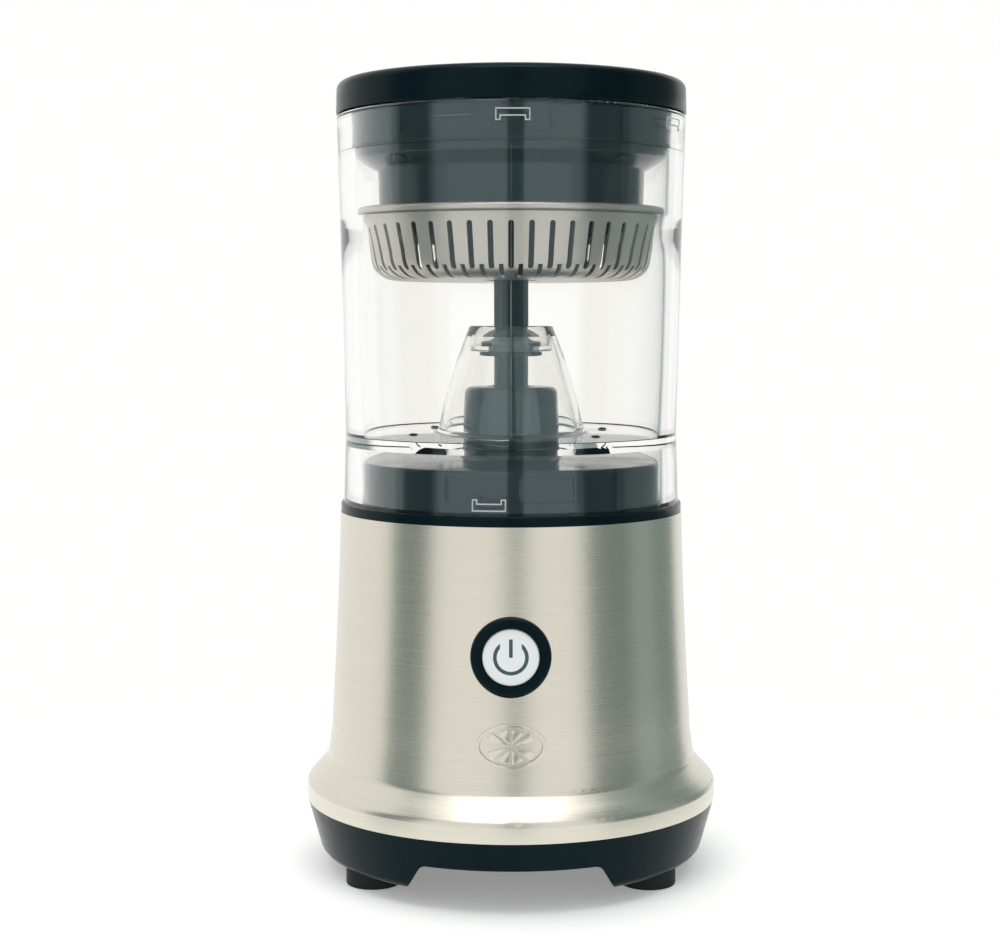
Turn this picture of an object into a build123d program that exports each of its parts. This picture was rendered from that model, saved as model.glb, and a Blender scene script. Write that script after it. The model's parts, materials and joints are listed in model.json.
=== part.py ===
from build123d import *
import math
import os

# Citrus press juicer, millimetres.  +Z is up, the front faces -Y and the
# origin is on the table, under the middle of the base.
# Angles named *_turn are counted from the front (-Y) towards the right (+X).

# ---------------------------------------------------------------- sizes
# Base
base_radius = 72.3
foot_height = 6.0
foot_radius = 9.5
foot_spacing_x = 94.0
foot_spacing_y = 60.0
tray_height = 19.0
tray_bottom_radius = 67.0
tray_corner = 4.0
tray_wall = 2.5
arch_height = 9.4
arch_top_half_width = 29.4
arch_bottom_half_width = 34.4
arch_corner = 3.0
arch_foot_corner = 2.0

# Steel housing
steel_thickness = 0.8
housing_height = 101.0
housing_top_radius = 60.0
housing_middle_radius = 61.5
housing_foot_radius = 63.6
flare_top_radius = 65.0
flare_top_height = 14.3
flare_lip_height = 6.3
flare_inner_round = 4.0
flare_outer_round = 3.0
liner_gap = 0.3
liner_wall = 2.4

# Collar ring, docking platform and its tower
ring_height = 3.3
ring_radius = 59.8
ring_lip_depth = 4.0
platform_radius = 52.1
platform_height = 14.3
platform_wall = 4.2
platform_top_thickness = 2.6
tower_foot_radius = 17.4
tower_top_radius = 16.2
tower_height = 25.6
tower_wall = 2.6

# Jar
skirt_height = 19.4
plate_thickness = 4.1
tube_height = 110.2
tube_foot_radius = 58.0
tube_middle_radius = 59.05
tube_top_radius = 60.6
skirt_foot_radius = 58.8
tube_bore_foot = 51.9
tube_bore_middle = 53.2
tube_bore_top = 54.4
collar_bore = 55.7
collar_depth = 12.5
ledge_depth = 35.0
ledge_height = 1.0
ledge_taper = 12.0
ledge_bore = 52.2
skirt_clearance = 0.7
dome_foot_radius = 26.0
dome_middle_radius = 23.2
dome_shoulder_radius = 19.0
dome_height = 38.0
dome_wall = 1.8
crater_lip_radius = 14.6
crater_lip_width = 1.3
crater_floor_radius = 13.0
crater_depth = 7.6

# Bayonets: three lugs each, under the jar and on the lid
lug_count = 3
lock_turn = 25.0
bayonet_pitch = 360.0 / lug_count
jar_slot_turn = 13.0
jar_slot_width = 24.0
jar_lug_width = 20.0
jar_lug_depth = 2.0
jar_lug_height = 8.0
platform_flange = 1.8
lid_slot_width = 26.0
lid_lug_width = 22.0
lid_lug_depth = 1.3
lid_lug_height = 4.0
bayonet_clearance = 0.4
shelf_to_lid_lug = 3.5

# Strainer
strainer_sheet = 0.8
strainer_radius = 51.2
strainer_depth = 21.0
strainer_foot_radius = 47.6
strainer_corner = 7.5
rim_bead_radius = 1.6
strainer_hole_radius = 9.0
slot_count = 48
slot_width = 1.8
slot_top_margin = 5.7
slot_bottom_margin = 1.7
floor_slot_width = 1.5
floor_slot_inner = 37.5
floor_slot_rise = 4.2

# Reamer and drive shaft
reamer_radius = 33.5
reamer_height = 35.0
reamer_wall = 2.2
reamer_brim = 2.4
reamer_rib_count = 10
reamer_rib_width = 3.0
reamer_float = 0.6
socket_wall = 3.0
socket_depth = 23.0
shaft_radius = 6.0
hex_margin = 4.0

# Shaft seal in the crater
seal_upper_radius = 10.5
seal_lower_radius = 11.0
seal_hub_radius = 8.0
seal_upper_thickness = 1.0
seal_lower_thickness = 1.8

# Lid, press cup and sprung press plate
lid_height = 11.7
lid_radius = 60.8
lid_top_radius = 60.5
lid_wall = 2.5
lid_corner = 3.0
lid_seat_gap = 0.3
gasket_thickness = 1.2
cup_ring_wall = 2.2
cup_flange_radius = 57.8
cup_flange_thickness = 2.0
cup_mid_radius = 53.9
cup_mid_drop = 3.7
cup_cone_drop = 4.1
cup_radius = 46.4
cup_wall = 1.8
cup_reach = 21.5
cup_web = 2.4
press_radius = 43.6
press_thickness = 2.5
press_rib_depth = 1.5
press_rib_count = 8
press_tip_gap = 2.0
press_travel = 8.0
stem_radius = 4.0
guide_height = 3.2
retainer_radius = 6.5
retainer_thickness = 1.0
spring_wire = 0.9
spring_radius = 15.0
spring_turns = 5

# Power button
button_height = 83.9
bezel_radius = 13.1
button_radius = 9.4
button_travel = 1.5
bezel_stand = 1.2
symbol_radius = 5.2
symbol_stroke = 1.2
symbol_bar = 6.0
symbol_gap = 90.0
symbol_inlay = 0.4

# Gearbox and motor
gear_module = 0.9
pressure_angle = math.radians(25)
tooth_addendum = 0.8
tooth_dedendum = 1.1
tooth_backlash = 0.14
pinion_teeth = 12
first_big_teeth = 40
first_small_teeth = 12
second_big_teeth = 38
second_small_teeth = 13
output_teeth = 44
gear_width = 5.0
gear_gap = 1.5
cover_drop = 7.0
cover_thickness = 3.0
gearbox_plate_thickness = 3.0
axle_radius = 2.0
pillar_radius = 3.4
pillar_circle = 45.5
motor_radius = 18.5
motor_length = 48.0
motor_shaft_radius = 1.6

# Clearances
running = 0.06
free_gap = 0.3

# ---------------------------------------------------------------- levels
tray_bottom = foot_height
tray_top = tray_bottom + tray_height
steel_top = tray_top + housing_height
ring_top = steel_top + ring_height
plate_bottom = ring_top + skirt_height
plate_top = plate_bottom + plate_thickness
jar_top = plate_top + tube_height
lid_bottom = jar_top + lid_seat_gap
lid_top = lid_bottom + lid_height
shelf_level = jar_top - collar_depth
ledge_level = jar_top - ledge_depth
platform_top = ring_top + platform_height
tower_top = platform_top + tower_height
dome_top = plate_top + dome_height
crater_floor = dome_top - crater_depth
strainer_bottom = ledge_level - strainer_depth
reamer_bottom = strainer_bottom + strainer_sheet + reamer_float
reamer_top = reamer_bottom + reamer_height
socket_top = reamer_bottom + socket_depth
shaft_top = socket_top - free_gap
cup_bottom = shelf_level - cup_reach
gasket_top = shelf_level + gasket_thickness
press_bottom = reamer_top + press_tip_gap
press_plate_level = press_bottom + press_rib_depth
press_plate_top = press_plate_level + press_thickness
cup_ceiling = press_plate_top + press_travel + spring_wire + free_gap
guide_top = cup_ceiling + guide_height
lid_ceiling = lid_top - lid_wall

cover_top = steel_top - cover_drop
cover_bottom = cover_top - cover_thickness
level_c = cover_bottom - gear_gap - gear_width
level_b = level_c - gear_gap - gear_width
level_a = level_b - gear_gap - gear_width
gearbox_top = level_a - gear_gap
gearbox_bottom = gearbox_top - gearbox_plate_thickness
motor_bottom = gearbox_bottom - motor_length
liner_bottom = tray_top + 5.0
liner_top = steel_top - ring_lip_depth

shaft_bore = shaft_radius + running
hex_bottom = crater_floor + hex_margin
skirt_bore = platform_radius + skirt_clearance

os.makedirs("parts", exist_ok=True)


# ---------------------------------------------------------------- helpers
def turned(points, rounds=()):
    """A (radius, height) outline to turn about Z; rounds = ((corner, radius), ...)."""
    with BuildSketch(Plane.XZ) as outline:
        with BuildLine():
            Polyline(*points, close=True)
        make_face()
        for corner, radius in rounds:
            fillet(outline.vertices().sort_by_distance(corner)[0], radius)
    return outline.sketch


def tube(outer, inner, bottom, top):
    """A plain ring outline, or a disc when the inner radius is 0."""
    return turned([(inner, bottom), (outer, bottom), (outer, top), (inner, top)])


def at_turn(radius, turn, height=0.0):
    """The point at a turn from the front, as x, y, z."""
    angle = math.radians(turn)
    return (radius * math.sin(angle), -radius * math.cos(angle), height)


def sector(outer, inner, middle_turn, width, bottom, top):
    """A piece of a ring, centred on a turn from the front."""
    with BuildPart() as piece:
        revolve(tube(outer, inner, bottom, top), axis=Axis.Z, revolution_arc=width)
    start = middle_turn - 90.0 - width / 2
    return piece.part.rotate(Axis.Z, start)


def finish(builder, name):
    """Name one finished piece and write it."""
    builder.part.label = name
    export_step(builder.part, f"parts/{name}.step")


def arc_through(start, middle, end, steps=8):
    """Points on the circle through three points, for a gently curved wall."""
    arc = ThreePointArc(start, middle, end)
    return [tuple(arc @ (step / steps))[:2] for step in range(steps + 1)]


# ---------------------------------------------------------------- base tray
arch_top = tray_bottom + arch_height
screw_spots = [(side_x * 54.0, side_y * 12.0) for side_x in (-1, 1) for side_y in (-1, 1)]
tray_boss_radius = 4.2
tray_screw_radius = 1.5
tray_head_radius = 2.9
tray_head_level = tray_bottom + 4.0
frame_flange_bottom = liner_bottom
frame_flange_top = frame_flange_bottom + 3.0
inlet_bore = 3.6
inlet_radius = 5.0
inlet_flange = 1.5
inlet_back = 54.0


def arch_outline(margin):
    """The channel under the base, grown by a margin."""
    with BuildSketch(Plane.XZ) as outline:
        with BuildLine():
            Polyline(
                (-arch_bottom_half_width - margin, tray_bottom - 10),
                (-arch_bottom_half_width - margin, tray_bottom),
                (-arch_top_half_width - margin, arch_top + margin),
                (arch_top_half_width + margin, arch_top + margin),
                (arch_bottom_half_width + margin, tray_bottom),
                (arch_bottom_half_width + margin, tray_bottom - 10),
                close=True,
            )
        make_face()
        for side in (-1, 1):
            corner = (side * (arch_top_half_width + margin), arch_top + margin)
            fillet(outline.vertices().sort_by_distance(corner)[0], arch_corner)
            corner = (side * (arch_bottom_half_width + margin), tray_bottom)
            fillet(outline.vertices().sort_by_distance(corner)[0], arch_foot_corner)
    return outline.sketch


with BuildPart() as tray_cavity:
    revolve(
        turned(
            [
                (0, tray_bottom + tray_wall),
                (tray_bottom_radius - tray_wall, tray_bottom + tray_wall),
                (base_radius - tray_wall, tray_top + 0.1),
                (0, tray_top + 0.1),
            ]
        ),
        axis=Axis.Z,
    )
    extrude(arch_outline(tray_wall), amount=base_radius, both=True, mode=Mode.SUBTRACT)

with BuildPart() as base_tray:
    revolve(
        turned(
            [(0, tray_bottom), (tray_bottom_radius, tray_bottom), (base_radius, tray_top), (0, tray_top)],
            rounds=[((tray_bottom_radius, tray_bottom), tray_corner)],
        ),
        axis=Axis.Z,
    )
    extrude(arch_outline(0), amount=base_radius, both=True, mode=Mode.SUBTRACT)
    add(tray_cavity.part, mode=Mode.SUBTRACT)
    # The rim that centres the steel shell
    lip_outer = base_radius - steel_thickness - free_gap
    revolve(tube(lip_outer, base_radius - tray_wall - 0.3, tray_top - 3, tray_top + 2), axis=Axis.Z)
    with BuildSketch(Plane.XY.offset(tray_bottom)):
        with Locations(*screw_spots):
            Circle(tray_boss_radius)
    extrude(amount=frame_flange_bottom - tray_bottom)
    with BuildSketch(Plane.XY.offset(tray_bottom)):
        with Locations(*screw_spots):
            Circle(tray_head_radius + 0.3)
    extrude(amount=tray_head_level - tray_bottom, mode=Mode.SUBTRACT)
    with BuildSketch(Plane.XY.offset(tray_bottom)):
        with Locations(*screw_spots):
            Circle(tray_screw_radius + 0.2)
    extrude(amount=tray_top + 10, mode=Mode.SUBTRACT)
    with BuildSketch(Plane.XY.offset(tray_bottom)):
        with GridLocations(foot_spacing_x, foot_spacing_y, 2, 2):
            Circle(3.1)
    extrude(amount=tray_wall, mode=Mode.SUBTRACT)
    # The hole for the cord inlet, in the channel's ceiling near the back
    with BuildSketch(Plane.XY.offset(arch_top)):
        with Locations((0, inlet_back)):
            Circle(inlet_radius + 0.1)
    extrude(amount=tray_wall, mode=Mode.SUBTRACT)
finish(base_tray, "base_tray")

# Four round rubber feet, each with a stem pushed through the tray's floor
with BuildPart() as rubber_feet:
    with BuildSketch(Plane.XY):
        with GridLocations(foot_spacing_x, foot_spacing_y, 2, 2):
            Circle(foot_radius)
    extrude(amount=foot_height)
    fillet(rubber_feet.edges().group_by(Axis.Z)[0], 0.8)
    with BuildSketch(Plane.XY.offset(foot_height)):
        with GridLocations(foot_spacing_x, foot_spacing_y, 2, 2):
            Circle(3.0)
    extrude(amount=tray_wall + 1.0)
finish(rubber_feet, "rubber_feet")

with BuildPart() as tray_screws:
    with BuildSketch(Plane.XY.offset(tray_head_level - 2.0)):
        with Locations(*screw_spots):
            Circle(tray_head_radius)
    extrude(amount=2.0)
    with BuildSketch(Plane.XY.offset(tray_head_level)):
        with Locations(*screw_spots):
            Circle(tray_screw_radius)
    extrude(amount=frame_flange_top + 4.0 - tray_head_level)
finish(tray_screws, "tray_screws")

# Bush that the power cord comes out of, down into the channel under the base
with BuildPart() as cord_inlet:
    with BuildSketch(Plane.XY.offset(arch_top)):
        with Locations((0, inlet_back)):
            Circle(inlet_radius)
            Circle(inlet_bore, mode=Mode.SUBTRACT)
    extrude(amount=tray_wall)
    with BuildSketch(Plane.XY.offset(arch_top + tray_wall)):
        with Locations((0, inlet_back)):
            Circle(inlet_radius + 1.5)
            Circle(inlet_bore, mode=Mode.SUBTRACT)
    extrude(amount=inlet_flange)
finish(cord_inlet, "cord_inlet")

# ---------------------------------------------------------------- steel housing
wall_curve = arc_through(
    (housing_top_radius, steel_top),
    (housing_middle_radius, tray_top + 61.0),
    (housing_foot_radius, tray_top + 24.5),
)
flare = [
    (flare_top_radius, tray_top + flare_top_height),
    (base_radius, tray_top + flare_lip_height),
    (base_radius, tray_top),
]
bezel_hole_radius = bezel_radius + 0.15


def housing_solid(inset):
    """The solid inside the housing's outer surface, moved in by an inset."""
    points = [(radius - inset, height) for radius, height in wall_curve + flare]
    with BuildPart() as solid:
        revolve(
            turned(
                [(0, steel_top)] + points + [(0, tray_top)],
                rounds=[
                    ((flare_top_radius - inset, tray_top + flare_top_height), flare_inner_round + inset),
                    ((base_radius - inset, tray_top + flare_lip_height), flare_outer_round - inset),
                ],
            ),
            axis=Axis.Z,
        )
    return solid.part


housing_core = housing_solid(steel_thickness)
with BuildPart() as steel_housing:
    add(housing_solid(0))
    add(housing_core, mode=Mode.SUBTRACT)
    with BuildSketch(Plane.XZ):
        with Locations((0, button_height)):
            Circle(bezel_hole_radius)
    extrude(amount=base_radius, mode=Mode.SUBTRACT)
finish(steel_housing, "steel_housing")

# ---------------------------------------------------------------- inner frame
liner_radius = housing_top_radius - steel_thickness - liner_gap
liner_bore = liner_radius - liner_wall
ledge_bore_radius = 49.6
board_back = -42.0
board_thickness = 1.6
board_front = board_back - board_thickness
board_width = 44.0
board_height = 30.0
board_middle = button_height - 9.5
board_holes = [
    (side * (board_width / 2 - 4), board_middle + rise * (board_height / 2 - 4))
    for side in (-1, 1)
    for rise in (-1, 1)
]
with BuildPart() as frame_core:
    revolve(tube(liner_radius, 0, liner_bottom, liner_top), axis=Axis.Z)

with BuildPart() as inner_frame:
    revolve(tube(liner_radius, liner_bore, liner_bottom, liner_top), axis=Axis.Z)
    revolve(tube(liner_radius, ledge_bore_radius, frame_flange_bottom, frame_flange_top), axis=Axis.Z)
    revolve(tube(liner_radius, ledge_bore_radius, cover_bottom - 3.0, cover_bottom), axis=Axis.Z)
    with BuildSketch(Plane.XY.offset(frame_flange_top)):
        with Locations(*screw_spots):
            Circle(tray_boss_radius)
    extrude(amount=6.0)
    # Stand-offs that carry the control board
    with BuildSketch(Plane.XZ.offset(-board_front)):
        with Locations(*board_holes):
            Circle(3.0)
    extrude(amount=liner_radius)
    add(frame_core.part, mode=Mode.INTERSECT)
    with BuildSketch(Plane.XY.offset(frame_flange_bottom)):
        with Locations(*screw_spots):
            Circle(tray_screw_radius + 0.05)
    extrude(amount=7.5, mode=Mode.SUBTRACT)
    with BuildSketch(Plane.XZ.offset(-board_front)):
        with Locations(*board_holes):
            Circle(1.05)
    extrude(amount=7.0, mode=Mode.SUBTRACT)
    with BuildSketch(Plane.XZ):
        with Locations((0, button_height)):
            Circle(bezel_hole_radius)
    extrude(amount=base_radius, mode=Mode.SUBTRACT)
finish(inner_frame, "inner_frame")

# ---------------------------------------------------------------- collar ring
with BuildPart() as collar_ring:
    revolve(
        turned(
            [
                (platform_radius + free_gap, steel_top),
                (ring_radius, steel_top),
                (ring_radius, ring_top),
                (platform_radius + free_gap, ring_top),
            ],
            rounds=[((ring_radius, ring_top), 0.6)],
        ),
        axis=Axis.Z,
    )
    revolve(tube(liner_radius, liner_bore + 0.3, liner_top, steel_top), axis=Axis.Z)
finish(collar_ring, "collar_ring")

# ---------------------------------------------------------------- docking platform
groove_radius = platform_radius - jar_lug_depth + skirt_clearance - bayonet_clearance
groove_top = platform_top - platform_flange
groove_bottom = groove_top - jar_lug_height - 2 * bayonet_clearance
platform_bore = groove_radius - 2.4
seal_seat_height = 3.0
platform_screw_spots = [(38.0 * math.cos(a), 38.0 * math.sin(a)) for a in map(math.radians, (80, 180, 280))]
platform_boss_radius = 4.0

with BuildPart() as docking_platform:
    revolve(
        turned(
            [
                (tower_wall + shaft_radius, tower_top),
                (tower_top_radius, tower_top),
                (tower_foot_radius, platform_top),
                (platform_radius, platform_top),
                (platform_radius, cover_top),
                (platform_bore, cover_top),
                (platform_bore, platform_top - platform_top_thickness),
                (tower_foot_radius - tower_wall, platform_top - platform_top_thickness),
                (tower_top_radius - tower_wall, tower_top - tower_wall),
                (tower_wall + shaft_radius, tower_top - tower_wall),
            ],
            rounds=[
                ((tower_top_radius, tower_top), 2.6),
                ((tower_foot_radius, platform_top), 1.5),
                ((platform_radius, platform_top), 1.2),
            ],
        ),
        axis=Axis.Z,
    )
    # The tower's sleeve, which holds the bush
    revolve(tube(11.0, 8.5, tower_top - 16.0, tower_top - tower_wall), axis=Axis.Z)
    for lug in range(lug_count):
        slot_turn = jar_slot_turn + lug * bayonet_pitch
        groove_width = jar_slot_width + lock_turn
        add(
            sector(platform_radius + 1, groove_radius, slot_turn, jar_slot_width, groove_bottom, platform_top + 1),
            mode=Mode.SUBTRACT,
        )
        add(
            sector(
                platform_radius + 1,
                groove_radius,
                slot_turn - lock_turn / 2,
                groove_width,
                groove_bottom,
                groove_top,
            ),
            mode=Mode.SUBTRACT,
        )
    with BuildSketch(Plane.XY.offset(cover_top)):
        with Locations(*platform_screw_spots):
            Circle(platform_boss_radius)
    extrude(amount=platform_top - platform_top_thickness - cover_top)
    with BuildSketch(Plane.XY.offset(cover_top)):
        with Locations(*platform_screw_spots):
            Circle(1.55)
    extrude(amount=12.0, mode=Mode.SUBTRACT)
finish(docking_platform, "docking_platform")

with BuildPart() as platform_screws:
    with BuildSketch(Plane.XY.offset(cover_bottom - 1.0)):
        with Locations(*platform_screw_spots):
            Circle(2.8)
    extrude(amount=1.0)
    with BuildSketch(Plane.XY.offset(cover_bottom)):
        with Locations(*platform_screw_spots):
            Circle(1.5)
    extrude(amount=cover_thickness + 10.0)
finish(platform_screws, "platform_screws")

# Bronze bush in the tower's sleeve, and the lip seal above it
with BuildPart() as tower_bush:
    revolve(tube(8.5, shaft_bore, tower_top - 16.0, tower_top - 5.0), axis=Axis.Z)
finish(tower_bush, "tower_bush")

with BuildPart() as lip_seal:
    revolve(
        turned(
            [
                (shaft_bore + 0.1, tower_top - 4.4),
                (8.4, tower_top - 4.4),
                (8.4, tower_top - 0.6),
                (7.4, tower_top - 0.2),
                (shaft_bore + 0.1, tower_top + 0.4),
            ]
        ),
        axis=Axis.Z,
    )
finish(lip_seal, "lip_seal")


# ---------------------------------------------------------------- gears
def gear_radius(teeth):
    """Pitch radius."""
    return gear_module * teeth / 2


def tip_radius(teeth):
    return gear_radius(teeth) + tooth_addendum * gear_module


def gear_outline(teeth, tooth_angle):
    """An involute gear with one tooth pointing along tooth_angle (degrees from +X)."""
    pitch_radius = gear_radius(teeth)
    base_circle = pitch_radius * math.cos(pressure_angle)
    tip = tip_radius(teeth)
    root = pitch_radius - tooth_dedendum * gear_module
    half_tooth = math.pi / (2 * teeth) - tooth_backlash / (4 * pitch_radius)

    def half_angle(radius):
        slope = math.acos(min(1.0, base_circle / max(radius, base_circle)))
        pitch_roll = math.tan(pressure_angle) - pressure_angle
        return half_tooth + pitch_roll - (math.tan(slope) - slope)

    def point(radius, angle):
        return (radius * math.cos(angle), radius * math.sin(angle))

    flank_foot = max(root, base_circle)
    flank_middle = (flank_foot + tip) / 2
    tooth_step = 2 * math.pi / teeth
    with BuildSketch() as outline:
        with BuildLine():
            for tooth in range(teeth):
                middle = math.radians(tooth_angle) + tooth * tooth_step
                low = half_angle(flank_foot)
                mid = half_angle(flank_middle)
                high = half_angle(tip)
                if root < flank_foot:
                    Line(point(root, middle - low), point(flank_foot, middle - low))
                    Line(point(flank_foot, middle + low), point(root, middle + low))
                ThreePointArc(
                    point(flank_foot, middle - low),
                    point(flank_middle, middle - mid),
                    point(tip, middle - high),
                )
                ThreePointArc(point(tip, middle - high), point(tip, middle), point(tip, middle + high))
                ThreePointArc(
                    point(tip, middle + high),
                    point(flank_middle, middle + mid),
                    point(flank_foot, middle + low),
                )
                ThreePointArc(
                    point(root, middle + low),
                    point(root, middle + tooth_step / 2),
                    point(root, middle + tooth_step - low),
                )
        make_face()
    return outline.sketch


def gap_facing(teeth, direction):
    """The tooth angle that puts a gap, not a tooth, in a direction (degrees)."""
    return direction + 180.0 / teeth


# The motor and the output share the middle; the two idlers stand beside it.
reach_first = gear_radius(pinion_teeth) + gear_radius(first_big_teeth)
reach_between = gear_radius(first_small_teeth) + gear_radius(second_big_teeth)
reach_second = gear_radius(second_small_teeth) + gear_radius(output_teeth)
spread_cosine = (reach_first**2 + reach_second**2 - reach_between**2) / (2 * reach_first * reach_second)
spread = math.degrees(math.acos(spread_cosine))
first_direction = spread / 2
second_direction = -spread / 2
first_centre = Vector(reach_first, 0).rotate(Axis.Z, first_direction)
second_centre = Vector(reach_second, 0).rotate(Axis.Z, second_direction)
between_step = second_centre - first_centre
between_direction = math.degrees(math.atan2(between_step.Y, between_step.X))

with BuildPart() as motor_pinion:
    with BuildSketch(Plane.XY.offset(level_a)):
        add(gear_outline(pinion_teeth, first_direction))
        Circle(motor_shaft_radius + 0.02, mode=Mode.SUBTRACT)
    extrude(amount=gear_width)
finish(motor_pinion, "motor_pinion")

with BuildPart() as motor_shaft:
    with BuildSketch(Plane.XY.offset(motor_bottom - 5.0)):
        Circle(motor_shaft_radius)
    extrude(amount=level_a + gear_width + 0.4 - motor_bottom + 5.0)
finish(motor_shaft, "motor_shaft")

# First compound gear: the big gear meets the pinion, the small one the next gear
first_at = Plane.XY.offset(level_a).shift_origin((first_centre.X, first_centre.Y, level_a))
with BuildPart() as first_gear:
    with BuildSketch(first_at):
        add(gear_outline(first_big_teeth, gap_facing(first_big_teeth, first_direction + 180)))
        Circle(axle_radius + running, mode=Mode.SUBTRACT)
    extrude(amount=gear_width)
    with BuildSketch(first_at.offset(gear_width)):
        add(gear_outline(first_small_teeth, between_direction))
        Circle(axle_radius + running, mode=Mode.SUBTRACT)
    extrude(amount=gear_gap + gear_width)
finish(first_gear, "first_gear")

second_at = Plane.XY.offset(level_b).shift_origin((second_centre.X, second_centre.Y, level_b))
with BuildPart() as second_gear:
    with BuildSketch(second_at):
        add(gear_outline(second_big_teeth, gap_facing(second_big_teeth, between_direction + 180)))
        Circle(axle_radius + running, mode=Mode.SUBTRACT)
    extrude(amount=gear_width)
    with BuildSketch(second_at.offset(gear_width)):
        add(gear_outline(second_small_teeth, second_direction + 180))
        Circle(axle_radius + running, mode=Mode.SUBTRACT)
    extrude(amount=gear_gap + gear_width)
finish(second_gear, "second_gear")

gear_seat_radius = shaft_radius - 0.8
with BuildPart() as output_gear:
    with BuildSketch(Plane.XY.offset(level_c)):
        add(gear_outline(output_teeth, gap_facing(output_teeth, second_direction)))
        Circle(gear_seat_radius + 0.02, mode=Mode.SUBTRACT)
    extrude(amount=gear_width)
finish(output_gear, "output_gear")

with BuildPart() as gear_axles:
    with BuildSketch(Plane.XY.offset(gearbox_bottom)):
        with Locations((first_centre.X, first_centre.Y), (second_centre.X, second_centre.Y)):
            Circle(axle_radius)
    extrude(amount=cover_top - gearbox_bottom - 1.0)
finish(gear_axles, "gear_axles")

# ---------------------------------------------------------------- gearbox plate and cover
pillar_spots = [(pillar_circle * math.cos(a), pillar_circle * math.sin(a)) for a in map(math.radians, (45, 135, 225, 315))]
axle_spots = [(first_centre.X, first_centre.Y), (second_centre.X, second_centre.Y)]
motor_screw_spots = [(0, 12.0), (0, -12.0)]

with BuildPart() as gearbox_plate:
    with BuildSketch(Plane.XY.offset(gearbox_bottom)):
        Circle(ledge_bore_radius - free_gap)
        # The front is cut straight, behind the control board
        with Locations((0, board_back + 1.0 - ledge_bore_radius / 2)):
            Rectangle(ledge_bore_radius * 2, ledge_bore_radius, mode=Mode.SUBTRACT)
        Circle(5.0, mode=Mode.SUBTRACT)
        with Locations(*motor_screw_spots):
            Circle(1.6, mode=Mode.SUBTRACT)
    extrude(amount=gearbox_plate_thickness)
    with BuildSketch(Plane.XY.offset(gearbox_top)):
        with Locations(*pillar_spots):
            Circle(pillar_radius)
    extrude(amount=cover_bottom - gearbox_top)
    with BuildSketch(Plane.XY.offset(gearbox_bottom)):
        with Locations(*pillar_spots):
            Circle(1.6)
        with Locations(*axle_spots):
            Circle(axle_radius + 0.02)
    extrude(amount=cover_bottom - gearbox_bottom, mode=Mode.SUBTRACT)
    with BuildSketch(Plane.XY.offset(gearbox_top - 1.4)):
        with Locations(*motor_screw_spots):
            Circle(2.8)
    extrude(amount=1.4, mode=Mode.SUBTRACT)
finish(gearbox_plate, "gearbox_plate")

with BuildPart() as gearbox_cover:
    with BuildSketch(Plane.XY.offset(cover_bottom)):
        Circle(liner_bore - free_gap)
        Circle(8.5, mode=Mode.SUBTRACT)
        with Locations(*pillar_spots):
            Circle(1.55, mode=Mode.SUBTRACT)
        with Locations(*platform_screw_spots):
            Circle(1.6, mode=Mode.SUBTRACT)
    extrude(amount=cover_thickness)
    with BuildSketch(Plane.XY.offset(cover_bottom)):
        with Locations(*axle_spots):
            Circle(axle_radius + 0.02)
    extrude(amount=cover_thickness - 1.0, mode=Mode.SUBTRACT)
finish(gearbox_cover, "gearbox_cover")

with BuildPart() as gearbox_screws:
    with BuildSketch(Plane.XY.offset(gearbox_bottom - 1.8)):
        with Locations(*pillar_spots):
            Circle(2.8)
    extrude(amount=1.8)
    with BuildSketch(Plane.XY.offset(gearbox_bottom)):
        with Locations(*pillar_spots):
            Circle(1.5)
    extrude(amount=cover_top - gearbox_bottom - 0.5)
finish(gearbox_screws, "gearbox_screws")

with BuildPart() as output_bush:
    revolve(tube(8.4, shaft_bore, cover_bottom - 1.2, cover_top + 4.0), axis=Axis.Z)
finish(output_bush, "output_bush")

# ---------------------------------------------------------------- motor
with BuildPart() as motor_can:
    revolve(
        turned(
            [
                (motor_shaft_radius + running, gearbox_bottom),
                (motor_radius, gearbox_bottom),
                (motor_radius, motor_bottom),
                (motor_radius - 1.2, motor_bottom),
                (motor_radius - 1.2, gearbox_bottom - 4.0),
                (motor_shaft_radius + running, gearbox_bottom - 4.0),
            ],
            rounds=[((motor_radius, gearbox_bottom), 1.0)],
        ),
        axis=Axis.Z,
    )
    with BuildSketch(Plane.XY.offset(gearbox_bottom - 4.0)):
        with Locations(*motor_screw_spots):
            Circle(1.3)
    extrude(amount=4.0, mode=Mode.SUBTRACT)
finish(motor_can, "motor_can")

with BuildPart() as motor_armature:
    revolve(
        tube(motor_radius - 5.0, motor_shaft_radius + 0.02, motor_bottom + 4.0, gearbox_bottom - 8.0),
        axis=Axis.Z,
    )
finish(motor_armature, "motor_armature")

with BuildPart() as motor_end_cap:
    revolve(tube(motor_radius, motor_shaft_radius + running, motor_bottom - 3.0, motor_bottom), axis=Axis.Z)
    with BuildSketch(Plane.XY.offset(motor_bottom - 9.0)):
        with GridLocations(18.0, 0, 2, 1):
            Rectangle(0.8, 5.0)
    extrude(amount=6.0)
finish(motor_end_cap, "motor_end_cap")

with BuildPart() as motor_screws:
    with BuildSketch(Plane.XY.offset(gearbox_top - 1.4)):
        with Locations(*motor_screw_spots):
            Circle(2.6)
    extrude(amount=1.3)
    with BuildSketch(Plane.XY.offset(gearbox_bottom - 3.5)):
        with Locations(*motor_screw_spots):
            Circle(1.25)
    extrude(amount=gearbox_plate_thickness + 3.5 - 1.4)
finish(motor_screws, "motor_screws")

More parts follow.
